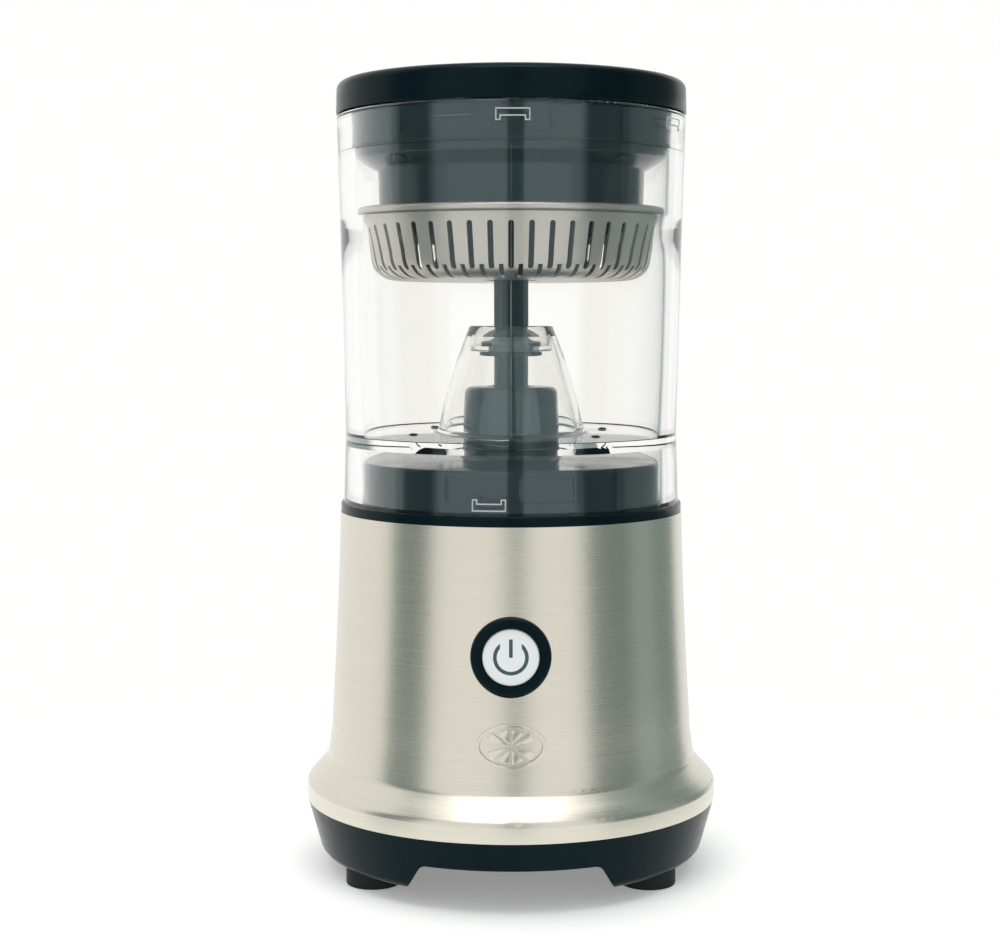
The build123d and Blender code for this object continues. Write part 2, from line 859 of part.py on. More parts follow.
# ---------------------------------------------------------------- drive shaft
with BuildPart() as drive_shaft:
    with BuildSketch(Plane.XY.offset(level_c - 0.4)):
        Circle(gear_seat_radius)
    extrude(amount=gear_width + 0.4)
    with BuildSketch(Plane.XY.offset(level_c + gear_width)):
        Circle(shaft_radius)
    extrude(amount=hex_bottom - level_c - gear_width)
    with BuildSketch(Plane.XY.offset(hex_bottom)):
        RegularPolygon(shaft_radius, 6)
    extrude(amount=shaft_top - hex_bottom)
    chamfer(drive_shaft.faces().sort_by(Axis.Z)[-1].edges(), 0.6)
finish(drive_shaft, "drive_shaft")

# ---------------------------------------------------------------- power button
housing_front = -housing_middle_radius
bezel_front = housing_front - bezel_stand
bezel_depth = 11.0
bezel_back = bezel_front + bezel_depth
bezel_bore = button_radius + 0.25
plunger_radius = 2.0
switch_front = board_front - 5.5
flange_front = -liner_bore + 1.6

with BuildPart() as button_bezel:
    with BuildSketch(Plane.XZ.offset(-bezel_front)):
        with Locations((0, button_height)):
            Circle(bezel_radius)
            Circle(bezel_bore, mode=Mode.SUBTRACT)
    extrude(amount=-bezel_depth + 1.6)
    front_edges = button_bezel.edges().group_by(Axis.Y)[0]
    fillet(front_edges.sort_by(SortBy.LENGTH)[-1], 1.2)
    with BuildSketch(Plane.XZ.offset(-bezel_back)):
        with Locations((0, button_height)):
            Circle(bezel_radius)
            Circle(plunger_radius + free_gap, mode=Mode.SUBTRACT)
    extrude(amount=1.6)
finish(button_bezel, "button_bezel")

button_front = bezel_front + 0.6
with BuildPart() as power_button:
    with BuildSketch(Plane.XZ.offset(-button_front)):
        with Locations((0, button_height)):
            Circle(button_radius)
    extrude(amount=-5.0)
    fillet(power_button.edges().group_by(Axis.Y)[0], 0.6)
    with BuildSketch(Plane.XZ.offset(-button_front)):
        with Locations((0, button_height)):
            Circle(symbol_radius + symbol_stroke / 2)
            Circle(symbol_radius - symbol_stroke / 2, mode=Mode.SUBTRACT)
        with Locations((0, button_height + symbol_radius)):
            Rectangle(symbol_radius * 1.35, symbol_radius * 1.35, mode=Mode.SUBTRACT)
        with Locations((0, button_height + symbol_radius - symbol_bar / 2 + 0.8)):
            Rectangle(symbol_stroke, symbol_bar)
    extrude(amount=-symbol_inlay, mode=Mode.SUBTRACT)
finish(power_button, "power_button")

with BuildPart() as power_symbol:
    with BuildSketch(Plane.XZ.offset(-button_front)):
        with Locations((0, button_height)):
            Circle(symbol_radius + symbol_stroke / 2)
            Circle(symbol_radius - symbol_stroke / 2, mode=Mode.SUBTRACT)
        with Locations((0, button_height + symbol_radius)):
            Rectangle(symbol_radius * 1.35, symbol_radius * 1.35, mode=Mode.SUBTRACT)
        with Locations((0, button_height + symbol_radius - symbol_bar / 2 + 0.8)):
            Rectangle(symbol_stroke, symbol_bar)
    extrude(amount=-symbol_inlay)
finish(power_symbol, "power_symbol")

with BuildPart() as switch_plunger:
    with BuildSketch(Plane.XZ.offset(-button_front - 5.0)):
        with Locations((0, button_height)):
            Circle(plunger_radius)
    extrude(amount=-(switch_front - button_front - 5.0) - 2.0)
finish(switch_plunger, "switch_plunger")

with BuildPart() as push_switch:
    with BuildSketch(Plane.XZ.offset(-board_front)):
        with Locations((0, button_height)):
            Rectangle(10.0, 10.0)
    extrude(amount=5.5)
    with BuildSketch(Plane.XZ.offset(-switch_front)):
        with Locations((0, button_height)):
            Circle(plunger_radius + 0.1)
    extrude(amount=-2.0 - button_travel - free_gap, mode=Mode.SUBTRACT)
finish(push_switch, "push_switch")

with BuildPart() as control_board:
    with BuildSketch(Plane.XZ.offset(-board_back)):
        with Locations((0, board_middle)):
            Rectangle(board_width, board_height)
        with Locations(*board_holes):
            Circle(1.3, mode=Mode.SUBTRACT)
    extrude(amount=board_thickness)
finish(control_board, "control_board")

with BuildPart() as board_screws:
    with BuildSketch(Plane.XZ.offset(-board_back)):
        with Locations(*board_holes):
            Circle(2.2)
    extrude(amount=-1.6)
    with BuildSketch(Plane.XZ.offset(-board_back)):
        with Locations(*board_holes):
            Circle(1.0)
    extrude(amount=board_thickness + 6.0)
finish(board_screws, "board_screws")

# ---------------------------------------------------------------- jar
tube_outer = arc_through(
    (tube_foot_radius, plate_top),
    (tube_middle_radius, plate_top + tube_height * 0.45),
    (tube_top_radius, jar_top),
)
tube_bore = arc_through(
    (ledge_bore + 1.2, ledge_level - ledge_taper),
    (tube_bore_middle, (ledge_level + plate_top) / 2),
    (tube_bore_foot, plate_top),
)
lid_lug_bottom = shelf_level + shelf_to_lid_lug
lid_lug_top = lid_lug_bottom + lid_lug_height
cup_ring_radius = collar_bore - 0.4
lid_groove_radius = cup_ring_radius + lid_lug_depth + bayonet_clearance

with BuildPart() as jar_tube:
    revolve(
        turned(
            tube_outer
            + [
                (collar_bore, jar_top),
                (collar_bore, shelf_level),
                (tube_bore_top, shelf_level),
                (tube_bore_top - 0.3, ledge_level),
                (ledge_bore, ledge_level),
                (ledge_bore, ledge_level - ledge_height),
            ]
            + tube_bore,
            rounds=[((tube_top_radius, jar_top), 0.8)],
        ),
        axis=Axis.Z,
    )
    for lug in range(lug_count):
        notch_turn = lug * bayonet_pitch
        add(
            sector(
                lid_groove_radius,
                collar_bore - 1,
                notch_turn,
                lid_slot_width,
                lid_lug_bottom - bayonet_clearance,
                jar_top + 1,
            ),
            mode=Mode.SUBTRACT,
        )
        add(
            sector(
                lid_groove_radius,
                collar_bore - 1,
                notch_turn - lock_turn / 2,
                lid_slot_width + lock_turn,
                lid_lug_bottom - bayonet_clearance,
                lid_lug_top + bayonet_clearance,
            ),
            mode=Mode.SUBTRACT,
        )
finish(jar_tube, "jar_tube")

seal_hole_radius = seal_hub_radius + 0.1
with BuildPart() as jar_base:
    # Skirt, floor plate and the dome that folds in to hold the shaft seal
    revolve(
        turned(
            [
                (skirt_bore, ring_top),
                (skirt_foot_radius, ring_top),
                (tube_foot_radius + 0.2, plate_bottom),
                (tube_foot_radius, plate_top),
                (dome_foot_radius, plate_top),
                (dome_middle_radius, plate_top + 12.0),
                (dome_shoulder_radius, plate_top + 26.0),
                (crater_lip_radius, dome_top),
                (crater_lip_radius - crater_lip_width, dome_top),
                (crater_floor_radius, crater_floor),
                (seal_hole_radius, crater_floor),
                (seal_hole_radius, crater_floor - dome_wall),
                (crater_floor_radius + 1.4, crater_floor - dome_wall),
                (crater_floor_radius + 1.5, dome_top - 4.0),
                (dome_shoulder_radius - dome_wall, plate_top + 24.0),
                (dome_middle_radius - dome_wall, plate_top + 11.0),
                (dome_foot_radius - dome_wall, plate_bottom),
                (skirt_bore, plate_bottom),
            ],
            rounds=[
                ((crater_lip_radius, dome_top), 0.55),
                ((crater_lip_radius - crater_lip_width, dome_top), 0.55),
                ((dome_foot_radius, plate_top), 2.0),
                ((dome_middle_radius, plate_top + 12.0), 25.0),
                ((dome_shoulder_radius, plate_top + 26.0), 20.0),
            ],
        ),
        axis=Axis.Z,
    )
    for lug in range(lug_count):
        add(
            sector(
                skirt_bore + 1.0,
                skirt_bore - jar_lug_depth,
                jar_slot_turn + lug * bayonet_pitch,
                jar_lug_width,
                groove_bottom + bayonet_clearance,
                groove_top - bayonet_clearance,
            )
        )
finish(jar_base, "jar_base")

# Rubber seal clipped through the crater's floor, round the shaft
with BuildPart() as shaft_seal:
    seal_top = crater_floor + seal_upper_thickness
    seal_bottom = crater_floor - dome_wall - seal_lower_thickness
    revolve(
        turned(
            [
                (shaft_bore, seal_bottom),
                (seal_lower_radius, seal_bottom),
                (seal_lower_radius, crater_floor - dome_wall),
                (seal_hub_radius, crater_floor - dome_wall),
                (seal_hub_radius, crater_floor),
                (seal_upper_radius, crater_floor),
                (seal_upper_radius, seal_top),
                (shaft_bore + 1.4, seal_top + 0.4),
                (shaft_bore, seal_top + 1.6),
            ]
        ),
        axis=Axis.Z,
    )
finish(shaft_seal, "shaft_seal")

# ---------------------------------------------------------------- strainer
rim_level = ledge_level + rim_bead_radius
rim_centre_radius = strainer_radius + 0.7
slot_pitch = 360.0 / slot_count


def strainer_outline():
    """The pressed basket's wall: side, rounded corner and flat floor with a hole."""
    side_top = (strainer_radius, rim_level)
    corner = (strainer_foot_radius, strainer_bottom)
    inner_top = (strainer_radius - strainer_sheet, rim_level)
    inner_corner = (strainer_foot_radius - strainer_sheet, strainer_bottom + strainer_sheet)
    return turned(
        [
            (strainer_hole_radius, strainer_bottom),
            corner,
            side_top,
            inner_top,
            inner_corner,
            (strainer_hole_radius, strainer_bottom + strainer_sheet),
        ],
        rounds=[(corner, strainer_corner), (inner_corner, strainer_corner - strainer_sheet)],
    )


with BuildPart() as strainer_slots:
    slot_top = ledge_level - slot_top_margin + 3.0
    slot_bottom = strainer_bottom + slot_bottom_margin + 1.0
    slot_length = slot_top - slot_bottom
    slot_middle = (slot_top + slot_bottom) / 2
    for slot in range(slot_count):
        side_plane = Plane(
            origin=at_turn(strainer_foot_radius - 7.0, slot * slot_pitch, slot_middle),
            z_dir=at_turn(1.0, slot * slot_pitch),
            x_dir=(0, 0, 1),
        )
        with BuildSketch(side_plane):
            SlotOverall(slot_length, slot_width)
        extrude(amount=12.0)
    for slot in range(slot_count):
        turn = (slot + 0.5) * slot_pitch
        floor_plane = Plane(
            origin=at_turn((floor_slot_inner + strainer_radius + 2.0) / 2, turn, strainer_bottom - 1.0),
            z_dir=(0, 0, 1),
            x_dir=at_turn(1.0, turn),
        )
        with BuildSketch(floor_plane):
            SlotOverall(strainer_radius + 2.0 - floor_slot_inner, floor_slot_width)
        extrude(amount=floor_slot_rise + 1.0)

with BuildPart() as strainer:
    revolve(strainer_outline(), axis=Axis.Z)
    add(strainer_slots.part, mode=Mode.SUBTRACT)
    # The rolled rim
    with BuildSketch(Plane.XZ):
        with Locations((rim_centre_radius, rim_level)):
            Circle(rim_bead_radius)
    revolve(axis=Axis.Z)
finish(strainer, "strainer")

# ---------------------------------------------------------------- reamer
cone_foot_radius = 27.5
hub_radius = shaft_radius + socket_wall
brim_top = reamer_bottom + reamer_brim
cone_shoulder = (19.5, reamer_bottom + 19.0)
cone_neck = (9.0, reamer_bottom + 31.0)


def reamer_ribs():
    """Blades that follow the cone, standing out of it by a millimetre and a half."""
    rib_stand = 1.6
    with BuildPart() as blades:
        for rib in range(reamer_rib_count):
            turn = rib * 360.0 / reamer_rib_count
            blade_plane = Plane(origin=(0, 0, 0), x_dir=at_turn(1.0, turn), z_dir=at_turn(1.0, turn - 90))
            with BuildSketch(blade_plane):
                with BuildLine():
                    Polyline(
                        (10.0, brim_top - 0.5),
                        (cone_foot_radius + rib_stand, brim_top - 0.5),
                        (cone_shoulder[0] + rib_stand, cone_shoulder[1]),
                        (cone_neck[0] + rib_stand, cone_neck[1]),
                        (1.0, reamer_top - 0.3),
                        (1.0, reamer_top - 4.0),
                        (10.0, brim_top + 16.0),
                        close=True,
                    )
                make_face()
            extrude(amount=reamer_rib_width / 2, both=True)
    return blades.part


with BuildPart() as reamer_hollow:
    revolve(
        turned(
            [
                (hub_radius, reamer_bottom - 1),
                (cone_foot_radius - reamer_wall, reamer_bottom - 1),
                (cone_foot_radius - reamer_wall, brim_top),
                (cone_shoulder[0] - reamer_wall, cone_shoulder[1] - 1.0),
                (hub_radius, socket_top),
            ]
        ),
        axis=Axis.Z,
    )

with BuildPart() as reamer:
    revolve(
        turned(
            [
                (0, reamer_bottom),
                (reamer_radius, reamer_bottom),
                (reamer_radius, brim_top),
                (cone_foot_radius, brim_top),
                cone_shoulder,
                cone_neck,
                (0, reamer_top),
            ],
            rounds=[
                (cone_shoulder, 30.0),
                (cone_neck, 8.0),
                ((cone_foot_radius, brim_top), 1.5),
                ((reamer_radius, brim_top), 1.0),
            ],
        ),
        axis=Axis.Z,
    )
    add(reamer_ribs())
    add(reamer_hollow.part, mode=Mode.SUBTRACT)
    with BuildSketch(Plane.XY.offset(reamer_bottom)):
        RegularPolygon(shaft_radius + 0.15, 6)
    extrude(amount=socket_depth, mode=Mode.SUBTRACT)
finish(reamer, "reamer")

# ---------------------------------------------------------------- lid
with BuildPart() as lid_gasket:
    revolve(
        tube(collar_bore - free_gap, cup_mid_radius + free_gap, shelf_level, gasket_top),
        axis=Axis.Z,
    )
finish(lid_gasket, "lid_gasket")

cup_mid_bottom = shelf_level + gasket_thickness - cup_mid_drop
cup_cone_bottom = cup_mid_bottom - cup_cone_drop
web_level = cup_mid_bottom + 1.2
cup_ring_bore = cup_ring_radius - cup_ring_wall
lid_boss_circle = 49.4
lid_boss_radius = 2.9
lid_boss_spots = [
    (lid_boss_circle * math.cos(a), lid_boss_circle * math.sin(a)) for a in map(math.radians, (45, 135, 225, 315))
]
screw_seat = cup_mid_bottom - 1.2

with BuildPart() as press_cup:
    revolve(
        turned(
            [
                (stem_radius + running, cup_ceiling),
                (cup_radius - cup_wall, cup_ceiling),
                (cup_radius - cup_wall, cup_bottom),
                (cup_radius - 0.4, cup_bottom),
                (cup_radius, cup_cone_bottom),
                (cup_mid_radius, cup_mid_bottom),
                (cup_mid_radius, gasket_top),
                (cup_ring_radius, gasket_top),
                (cup_ring_radius, lid_bottom),
                (cup_flange_radius, lid_bottom),
                (cup_flange_radius, lid_bottom + cup_flange_thickness),
                (cup_ring_bore, lid_bottom + cup_flange_thickness),
                (cup_ring_bore, web_level),
                (cup_radius, web_level),
                (cup_radius, cup_ceiling + cup_web),
                (stem_radius + 3.0, cup_ceiling + cup_web),
                (stem_radius + 3.0, guide_top),
                (stem_radius + running, guide_top),
            ],
            rounds=[((cup_mid_radius, cup_mid_bottom), 1.5)],
        ),
        axis=Axis.Z,
    )
    for lug in range(lug_count):
        add(
            sector(
                cup_ring_radius + lid_lug_depth,
                cup_ring_radius - 1.0,
                lug * bayonet_pitch,
                lid_lug_width,
                lid_lug_bottom,
                lid_lug_top,
            )
        )
    with BuildSketch(Plane.XY.offset(cup_cone_bottom - 1)):
        with Locations(*lid_boss_spots):
            Circle(2.9)
    extrude(amount=screw_seat - cup_cone_bottom + 1, mode=Mode.SUBTRACT)
    with BuildSketch(Plane.XY.offset(cup_cone_bottom)):
        with Locations(*lid_boss_spots):
            Circle(1.6)
    extrude(amount=cup_mid_drop + cup_cone_drop, mode=Mode.SUBTRACT)
finish(press_cup, "press_cup")

with BuildPart() as lid_cap:
    revolve(
        turned(
            [
                (0, lid_top),
                (lid_top_radius, lid_top - 0.4),
                (lid_radius, lid_bottom),
                (cup_flange_radius + 0.2, lid_bottom),
                (cup_flange_radius + 0.2, lid_ceiling),
                (0, lid_ceiling),
            ],
            rounds=[((lid_top_radius, lid_top - 0.4), lid_corner), ((lid_radius, lid_bottom), 0.8)],
        ),
        axis=Axis.Z,
    )
    with BuildSketch(Plane.XY.offset(web_level)):
        with Locations(*lid_boss_spots):
            Circle(lid_boss_radius)
    extrude(amount=lid_ceiling - web_level)
    with BuildSketch(Plane.XY.offset(web_level)):
        with Locations(*lid_boss_spots):
            Circle(1.55)
    extrude(amount=12.0, mode=Mode.SUBTRACT)
finish(lid_cap, "lid_cap")

with BuildPart() as lid_screws:
    with BuildSketch(Plane.XY.offset(screw_seat - 1.6)):
        with Locations(*lid_boss_spots):
            Circle(2.6)
    extrude(amount=1.6)
    with BuildSketch(Plane.XY.offset(screw_seat)):
        with Locations(*lid_boss_spots):
            Circle(1.5)
    extrude(amount=web_level - screw_seat + 10.0)
finish(lid_screws, "lid_screws")

# ---------------------------------------------------------------- sprung press plate
with BuildPart() as press_plate:
    with BuildSketch(Plane.XY.offset(press_plate_level)):
        Circle(press_radius)
    extrude(amount=press_thickness)
    with BuildSketch(Plane.XY.offset(press_bottom)):
        with PolarLocations(press_radius / 2 + 2.0, press_rib_count):
            Rectangle(press_radius - 8.0, 1.6)
    extrude(amount=press_rib_depth)
    with BuildSketch(Plane.XY.offset(press_plate_top)):
        Circle(stem_radius)
    extrude(amount=guide_top - press_plate_top)
    with BuildSketch(Plane.XY.offset(guide_top)):
        Circle(1.3)
    extrude(amount=-10.0, mode=Mode.SUBTRACT)
finish(press_plate, "press_plate")

with BuildPart() as press_retainer:
    revolve(tube(retainer_radius, 1.5, guide_top, guide_top + retainer_thickness), axis=Axis.Z)
finish(press_retainer, "press_retainer")

with BuildPart() as press_screw:
    revolve(tube(2.8, 0, guide_top + retainer_thickness, guide_top + retainer_thickness + 1.4), axis=Axis.Z)
    revolve(tube(1.25, 0, guide_top - 8.0, guide_top + retainer_thickness), axis=Axis.Z)
finish(press_screw, "press_screw")

# Coil spring between the plate and the cup's ceiling
spring_height = cup_ceiling - press_plate_top
spring_rise = spring_height - spring_wire
with BuildPart() as press_spring:
    with BuildLine() as coil:
        Helix(spring_rise / spring_turns, spring_rise, spring_radius, center=(0, 0, press_plate_top + spring_wire / 2))
    with BuildSketch(Plane(origin=coil.line @ 0, z_dir=coil.line % 0)):
        Circle(spring_wire / 2)
    sweep(path=coil.line, is_frenet=True)
finish(press_spring, "press_spring")
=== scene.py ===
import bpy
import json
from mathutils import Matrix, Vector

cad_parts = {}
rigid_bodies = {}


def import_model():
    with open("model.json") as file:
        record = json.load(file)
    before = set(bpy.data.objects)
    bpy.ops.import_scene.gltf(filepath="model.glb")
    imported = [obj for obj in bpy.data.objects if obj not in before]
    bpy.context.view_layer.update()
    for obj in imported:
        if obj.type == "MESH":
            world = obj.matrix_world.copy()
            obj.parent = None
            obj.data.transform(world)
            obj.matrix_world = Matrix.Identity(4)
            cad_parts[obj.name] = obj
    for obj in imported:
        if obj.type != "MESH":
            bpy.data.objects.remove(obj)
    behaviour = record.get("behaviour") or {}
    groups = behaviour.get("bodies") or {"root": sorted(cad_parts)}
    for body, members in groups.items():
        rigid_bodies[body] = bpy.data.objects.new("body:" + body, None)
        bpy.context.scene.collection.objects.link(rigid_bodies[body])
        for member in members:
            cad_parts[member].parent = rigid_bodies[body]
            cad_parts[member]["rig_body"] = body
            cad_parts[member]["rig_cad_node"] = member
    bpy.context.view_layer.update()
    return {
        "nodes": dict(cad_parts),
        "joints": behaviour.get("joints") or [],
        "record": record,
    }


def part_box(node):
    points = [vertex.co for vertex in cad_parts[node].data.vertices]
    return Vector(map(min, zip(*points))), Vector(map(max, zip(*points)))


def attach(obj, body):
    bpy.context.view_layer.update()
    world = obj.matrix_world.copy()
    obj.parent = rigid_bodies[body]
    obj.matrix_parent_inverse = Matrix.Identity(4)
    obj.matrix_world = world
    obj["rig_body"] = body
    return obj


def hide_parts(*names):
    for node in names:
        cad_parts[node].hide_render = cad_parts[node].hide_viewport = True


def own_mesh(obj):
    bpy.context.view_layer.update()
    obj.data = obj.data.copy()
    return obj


bl_info = {
    "name": "Citrus Press Juicer",
    "version": (1, 0, 0),
    "blender": (4, 5, 0),
    "location": "View3D > Sidebar > Juicer",
    "description": "Skins, finishes, reliefs and a plain studio for a citrus press juicer",
    "category": "Object",
}

import json
import math

import bpy
from bpy.props import FloatProperty, FloatVectorProperty, IntProperty, PointerProperty
from bpy.types import Operator, Panel, PropertyGroup
from mathutils import Matrix, Vector

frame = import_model()
BODY_OF = {
    node: body
    for body, members in frame["record"]["behaviour"]["bodies"].items()
    for node in members
}


# How far a raised outline is rounded, as a share of its thickness
ROUNDING = 0.42
# Two points or edges nearer than this are one, in metres
NEAR = 1e-6
FRONT_FACING = (math.radians(90), 0, 0)


def top_of(node):
    """Height of a node's top at rest, in metres."""
    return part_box(node)[1][2]


def bottom_of(node):
    """Height of a node's bottom at rest, in metres."""
    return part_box(node)[0][2]


# ------------------------------------------------------------------ settings
def tint(name, description, default):
    """A colour that a user would change."""
    return FloatVectorProperty(
        name=name, description=description, subtype="COLOR", size=3, min=0, max=1,
        default=default,
    )


def length(name, description, default):
    """A length that a user would change, in metres."""
    return FloatProperty(
        name=name, description=description, unit="LENGTH", precision=5, min=0,
        default=default,
    )


class JuicerColours(PropertyGroup):
    """The colours of the juicer's finishes"""

    black: tint("Black", "Gloss and satin black plastics", (0.0012, 0.0065, 0.0085))
    steel: tint("Steel", "Brushed stainless steel", (0.70, 0.67, 0.575))
    basket_steel: tint("Strainer steel", "Pressed strainer sheet", (0.62, 0.61, 0.535))
    clear: tint("Clear", "Clear jar plastic", (0.985, 0.99, 0.975))
    rubber: tint("Rubber", "Feet, seals and gasket", (0.006, 0.010, 0.011))
    button: tint("Button", "Face of the power button", (0.50, 0.545, 0.54))
    symbol: tint("Symbol", "Inlaid power symbol", (0.035, 0.075, 0.09))
    acetal: tint("Gears", "Moulded gears", (0.78, 0.76, 0.68))
    floor: tint("Floor", "The stage floor", (0.93, 0.935, 0.93))


class JuicerReliefs(PropertyGroup):
    """The sizes of the raised and moulded details"""

    badge_height: length("Badge height", "Middle of the oval relief above the table", 0.0550)
    badge_half_width: length("Badge half width", "Half the oval's width", 0.0114)
    badge_half_rise: length("Badge half height", "Half the oval's height", 0.0072)
    badge_relief: length("Badge relief", "How far the relief stands out", 0.0009)
    mark_width: length("Mark width", "Width of a lock mark", 0.0112)
    mark_rise: length("Mark height", "Height of a lock mark", 0.0040)
    mark_line: length("Mark line", "Width of a lock mark's outline", 0.00042)
    pip_radius: length("Pip radius", "Radius of the pips on the jar's floor", 0.0016)
    pip_circle: length("Pip circle", "From the axis to the middle of a pip", 0.036)
    pip_count: IntProperty(name="Pips", description="Pips on the jar's floor", min=1, default=6)
    seam_width: length("Seam width", "Width of the moulding seam down the jar", 0.00012)


class JuicerStage(PropertyGroup):
    """The camera and the studio"""

    distance: length("Camera distance", "From the juicer's axis to the camera", 0.679)
    height: length("Camera height", "Camera above the table", 0.195)
    tilt: FloatProperty(
        name="Camera tilt", description="How far the camera looks down", subtype="ANGLE",
        default=math.radians(4.66),
    )
    turn: FloatProperty(
        name="Camera turn", description="How far the camera looks left", subtype="ANGLE",
        default=math.radians(0.327),
    )
    lens: FloatProperty(name="Lens", description="Focal length in millimetres", default=69.4)
    floor_size: length("Floor size", "Side of the square floor", 0.8)


# ------------------------------------------------------------------ shader expressions
class Wire:
    """A socket that can be added, subtracted and multiplied as a number."""

    def __init__(self, finish, socket):
        self.finish = finish
        self.socket = socket

    def math(self, operation, *others):
        inputs = dict(enumerate((self,) + others))
        return self.finish.node("ShaderNodeMath", {"operation": operation}, inputs)

    def __add__(self, other):
        return self.math("ADD", other)

    __radd__ = __add__

    def __mul__(self, other):
        return self.math("MULTIPLY", other)

    __rmul__ = __mul__

    def __sub__(self, other):
        return self.math("SUBTRACT", other)

    def __rsub__(self, other):
        inputs = {0: other, 1: self}
        return self.finish.node("ShaderNodeMath", {"operation": "SUBTRACT"}, inputs)

    def __abs__(self):
        return self.math("ABSOLUTE")


class Finish:
    """A node tree that is filled by expressions."""

    def __init__(self, tree):
        self.tree = tree
        tree.nodes.clear()

    def node(self, kind, settings=None, inputs=None, output=0):
        """Adds a node: its settings first, then the values or links of its sockets."""
        made = self.tree.nodes.new(kind)
        for key, value in (settings or {}).items():
            if key == "stops":
                elements = made.color_ramp.elements
                while len(elements) < len(value):
                    elements.new(0.5)
                for element, (place, colour) in zip(elements, value):
                    element.position = place
                    element.color = (*colour, 1.0)
            else:
                setattr(made, key, value)
        for key, value in (inputs or {}).items():
            if isinstance(value, Wire):
                self.tree.links.new(value.socket, made.inputs[key])
            elif made.inputs[key].type == "RGBA" and len(value) == 3:
                made.inputs[key].default_value = (*value, 1.0)
            else:
                made.inputs[key].default_value = value
        return Wire(self, made.outputs[output]) if made.outputs else None

    def place(self, scale=(1, 1, 1)):
        """Object coordinates, stretched by a scale."""
        coordinates = self.node("ShaderNodeTexCoord", output="Object")
        return self.node("ShaderNodeMapping", inputs={"Vector": coordinates, "Scale": scale})

    def noise(self, scale, detail=2.0, stretch=(1, 1, 1), roughness=0.5):
        """Smooth noise between 0 and 1, with a scale in cycles per metre."""
        inputs = {"Vector": self.place(stretch), "Scale": scale}
        inputs.update({"Detail": detail, "Roughness": roughness})
        return self.node("ShaderNodeTexNoise", inputs=inputs)

    def ramp(self, factor, low, high, start=0.3, stop=0.7):
        """Two colours, mixed by a number."""
        stops = ((start, low), (stop, high))
        return self.node("ShaderNodeValToRGB", {"stops": stops}, {"Fac": factor})

    def spread(self, value, low, high, start=0.3, stop=0.7):
        """A number between low and high."""
        inputs = {0: value, 1: start, 2: stop, 3: low, 4: high}
        return self.node("ShaderNodeMapRange", inputs=inputs)

    def step(self, value, start, stop, low=0.0, high=1.0):
        """A soft step from low to high."""
        inputs = {0: value, 1: start, 2: stop, 3: low, 4: high}
        return self.node("ShaderNodeMapRange", {"interpolation_type": "SMOOTHSTEP"}, inputs)

    def bump(self, height, strength, distance):
        """A normal from a height, with its distance in metres."""
        inputs = {"Height": height, "Strength": strength, "Distance": distance}
        return self.node("ShaderNodeBump", inputs=inputs)


def shade(colour, factor):
    """A colour made lighter or darker."""
    return tuple(min(1.0, channel * factor) for channel in colour)


def material(name, build):
    """A material whose nodes a function lays out and whose shader it returns."""
    made = bpy.data.materials.get(name)
    if made is None:
        made = bpy.data.materials.new(name)
        made.use_nodes = True
        finish = Finish(made.node_tree)
        shader = build(finish)
        finish.node("ShaderNodeOutputMaterial", inputs={"Surface": shader})
    return made


def principled(finish, **sockets):
    """The shader, with its sockets named by words joined with underscores."""
    inputs = {key.replace("_", " "): value for key, value in sockets.items()}
    return finish.node("ShaderNodeBsdfPrincipled", inputs=inputs)


# ------------------------------------------------------------------ finishes
def colours():
    """The colours as they are set in the scene."""
    return bpy.context.scene.juicer_colours


def gloss_black(finish):
    """Polished black moulding with faint handling marks and flow."""
    black = tuple(colours().black)
    cloud = finish.noise(35, 3)
    smear = finish.noise(160, 4, (1, 1, 0.35))
    peel = finish.noise(900, 1)
    return principled(
        finish,
        Base_Color=finish.ramp(cloud, shade(black, 0.85), shade(black, 1.2)),
        Roughness=finish.spread(smear, 0.10, 0.17),
        IOR=1.45,
        Specular_Tint=(0.68, 0.93, 1.0),
        Normal=finish.bump(peel, 0.05, 0.0002),
    )


def satin_black(finish):
    """Fine-grained black moulding."""
    black = tuple(colours().black)
    cloud = finish.noise(40, 3)
    grain = finish.noise(2600, 2)
    return principled(
        finish,
        Base_Color=finish.ramp(cloud, shade(black, 0.9), shade(black, 1.3)),
        Roughness=finish.spread(finish.noise(300, 3), 0.19, 0.27),
        IOR=1.21,
        Specular_Tint=(0.60, 0.92, 1.0),
        Normal=finish.bump(grain, 0.05, 0.0001),
    )


def clear_plastic(finish):
    """Thick clear moulding with a trace of flow lines."""
    flow = finish.noise(60, 2, (1, 1, 0.15))
    return principled(
        finish,
        Base_Color=finish.ramp(flow, shade(colours().clear, 0.99), tuple(colours().clear)),
        Roughness=finish.spread(flow, 0.005, 0.02),
        Transmission_Weight=1.0,
        IOR=1.49,
        Specular_Tint=(0.72, 0.94, 1.0),
    )


def frosted_clear(finish):
    """Clear plastic with a fine etched surface, for the moulded marks."""
    etch = finish.noise(3000, 2)
    return principled(
        finish,
        Base_Color=finish.ramp(etch, shade(colours().clear, 0.97), tuple(colours().clear)),
        Roughness=finish.spread(etch, 0.3, 0.5),
        Transmission_Weight=0.55,
        IOR=1.49,
        Normal=finish.bump(etch, 0.2, 0.0001),
    )


def brushed(finish, steel, line_scale, low, high, depth):
    """Sheet steel brushed along its girth."""
    lines = finish.noise(14, 5, (1, 1, line_scale), 0.7)
    cloud = finish.noise(22, 2)
    worn = lines * 0.85 + cloud * 0.15
    return principled(
        finish,
        Base_Color=finish.ramp(worn, shade(steel, 0.9), shade(steel, 1.06)),
        Metallic=1.0,
        Roughness=finish.spread(worn, low, high),
        Normal=finish.bump(lines, depth, 0.0001),
    )


def housing_steel(finish):
    """The housing's long fine brushing."""
    return brushed(finish, tuple(colours().steel), 700, 0.23, 0.29, 0.14)


def relief_steel(finish):
    """The housing's sheet where it is pressed out and polished by the tool."""
    return brushed(finish, tuple(colours().steel), 300, 0.16, 0.22, 0.03)


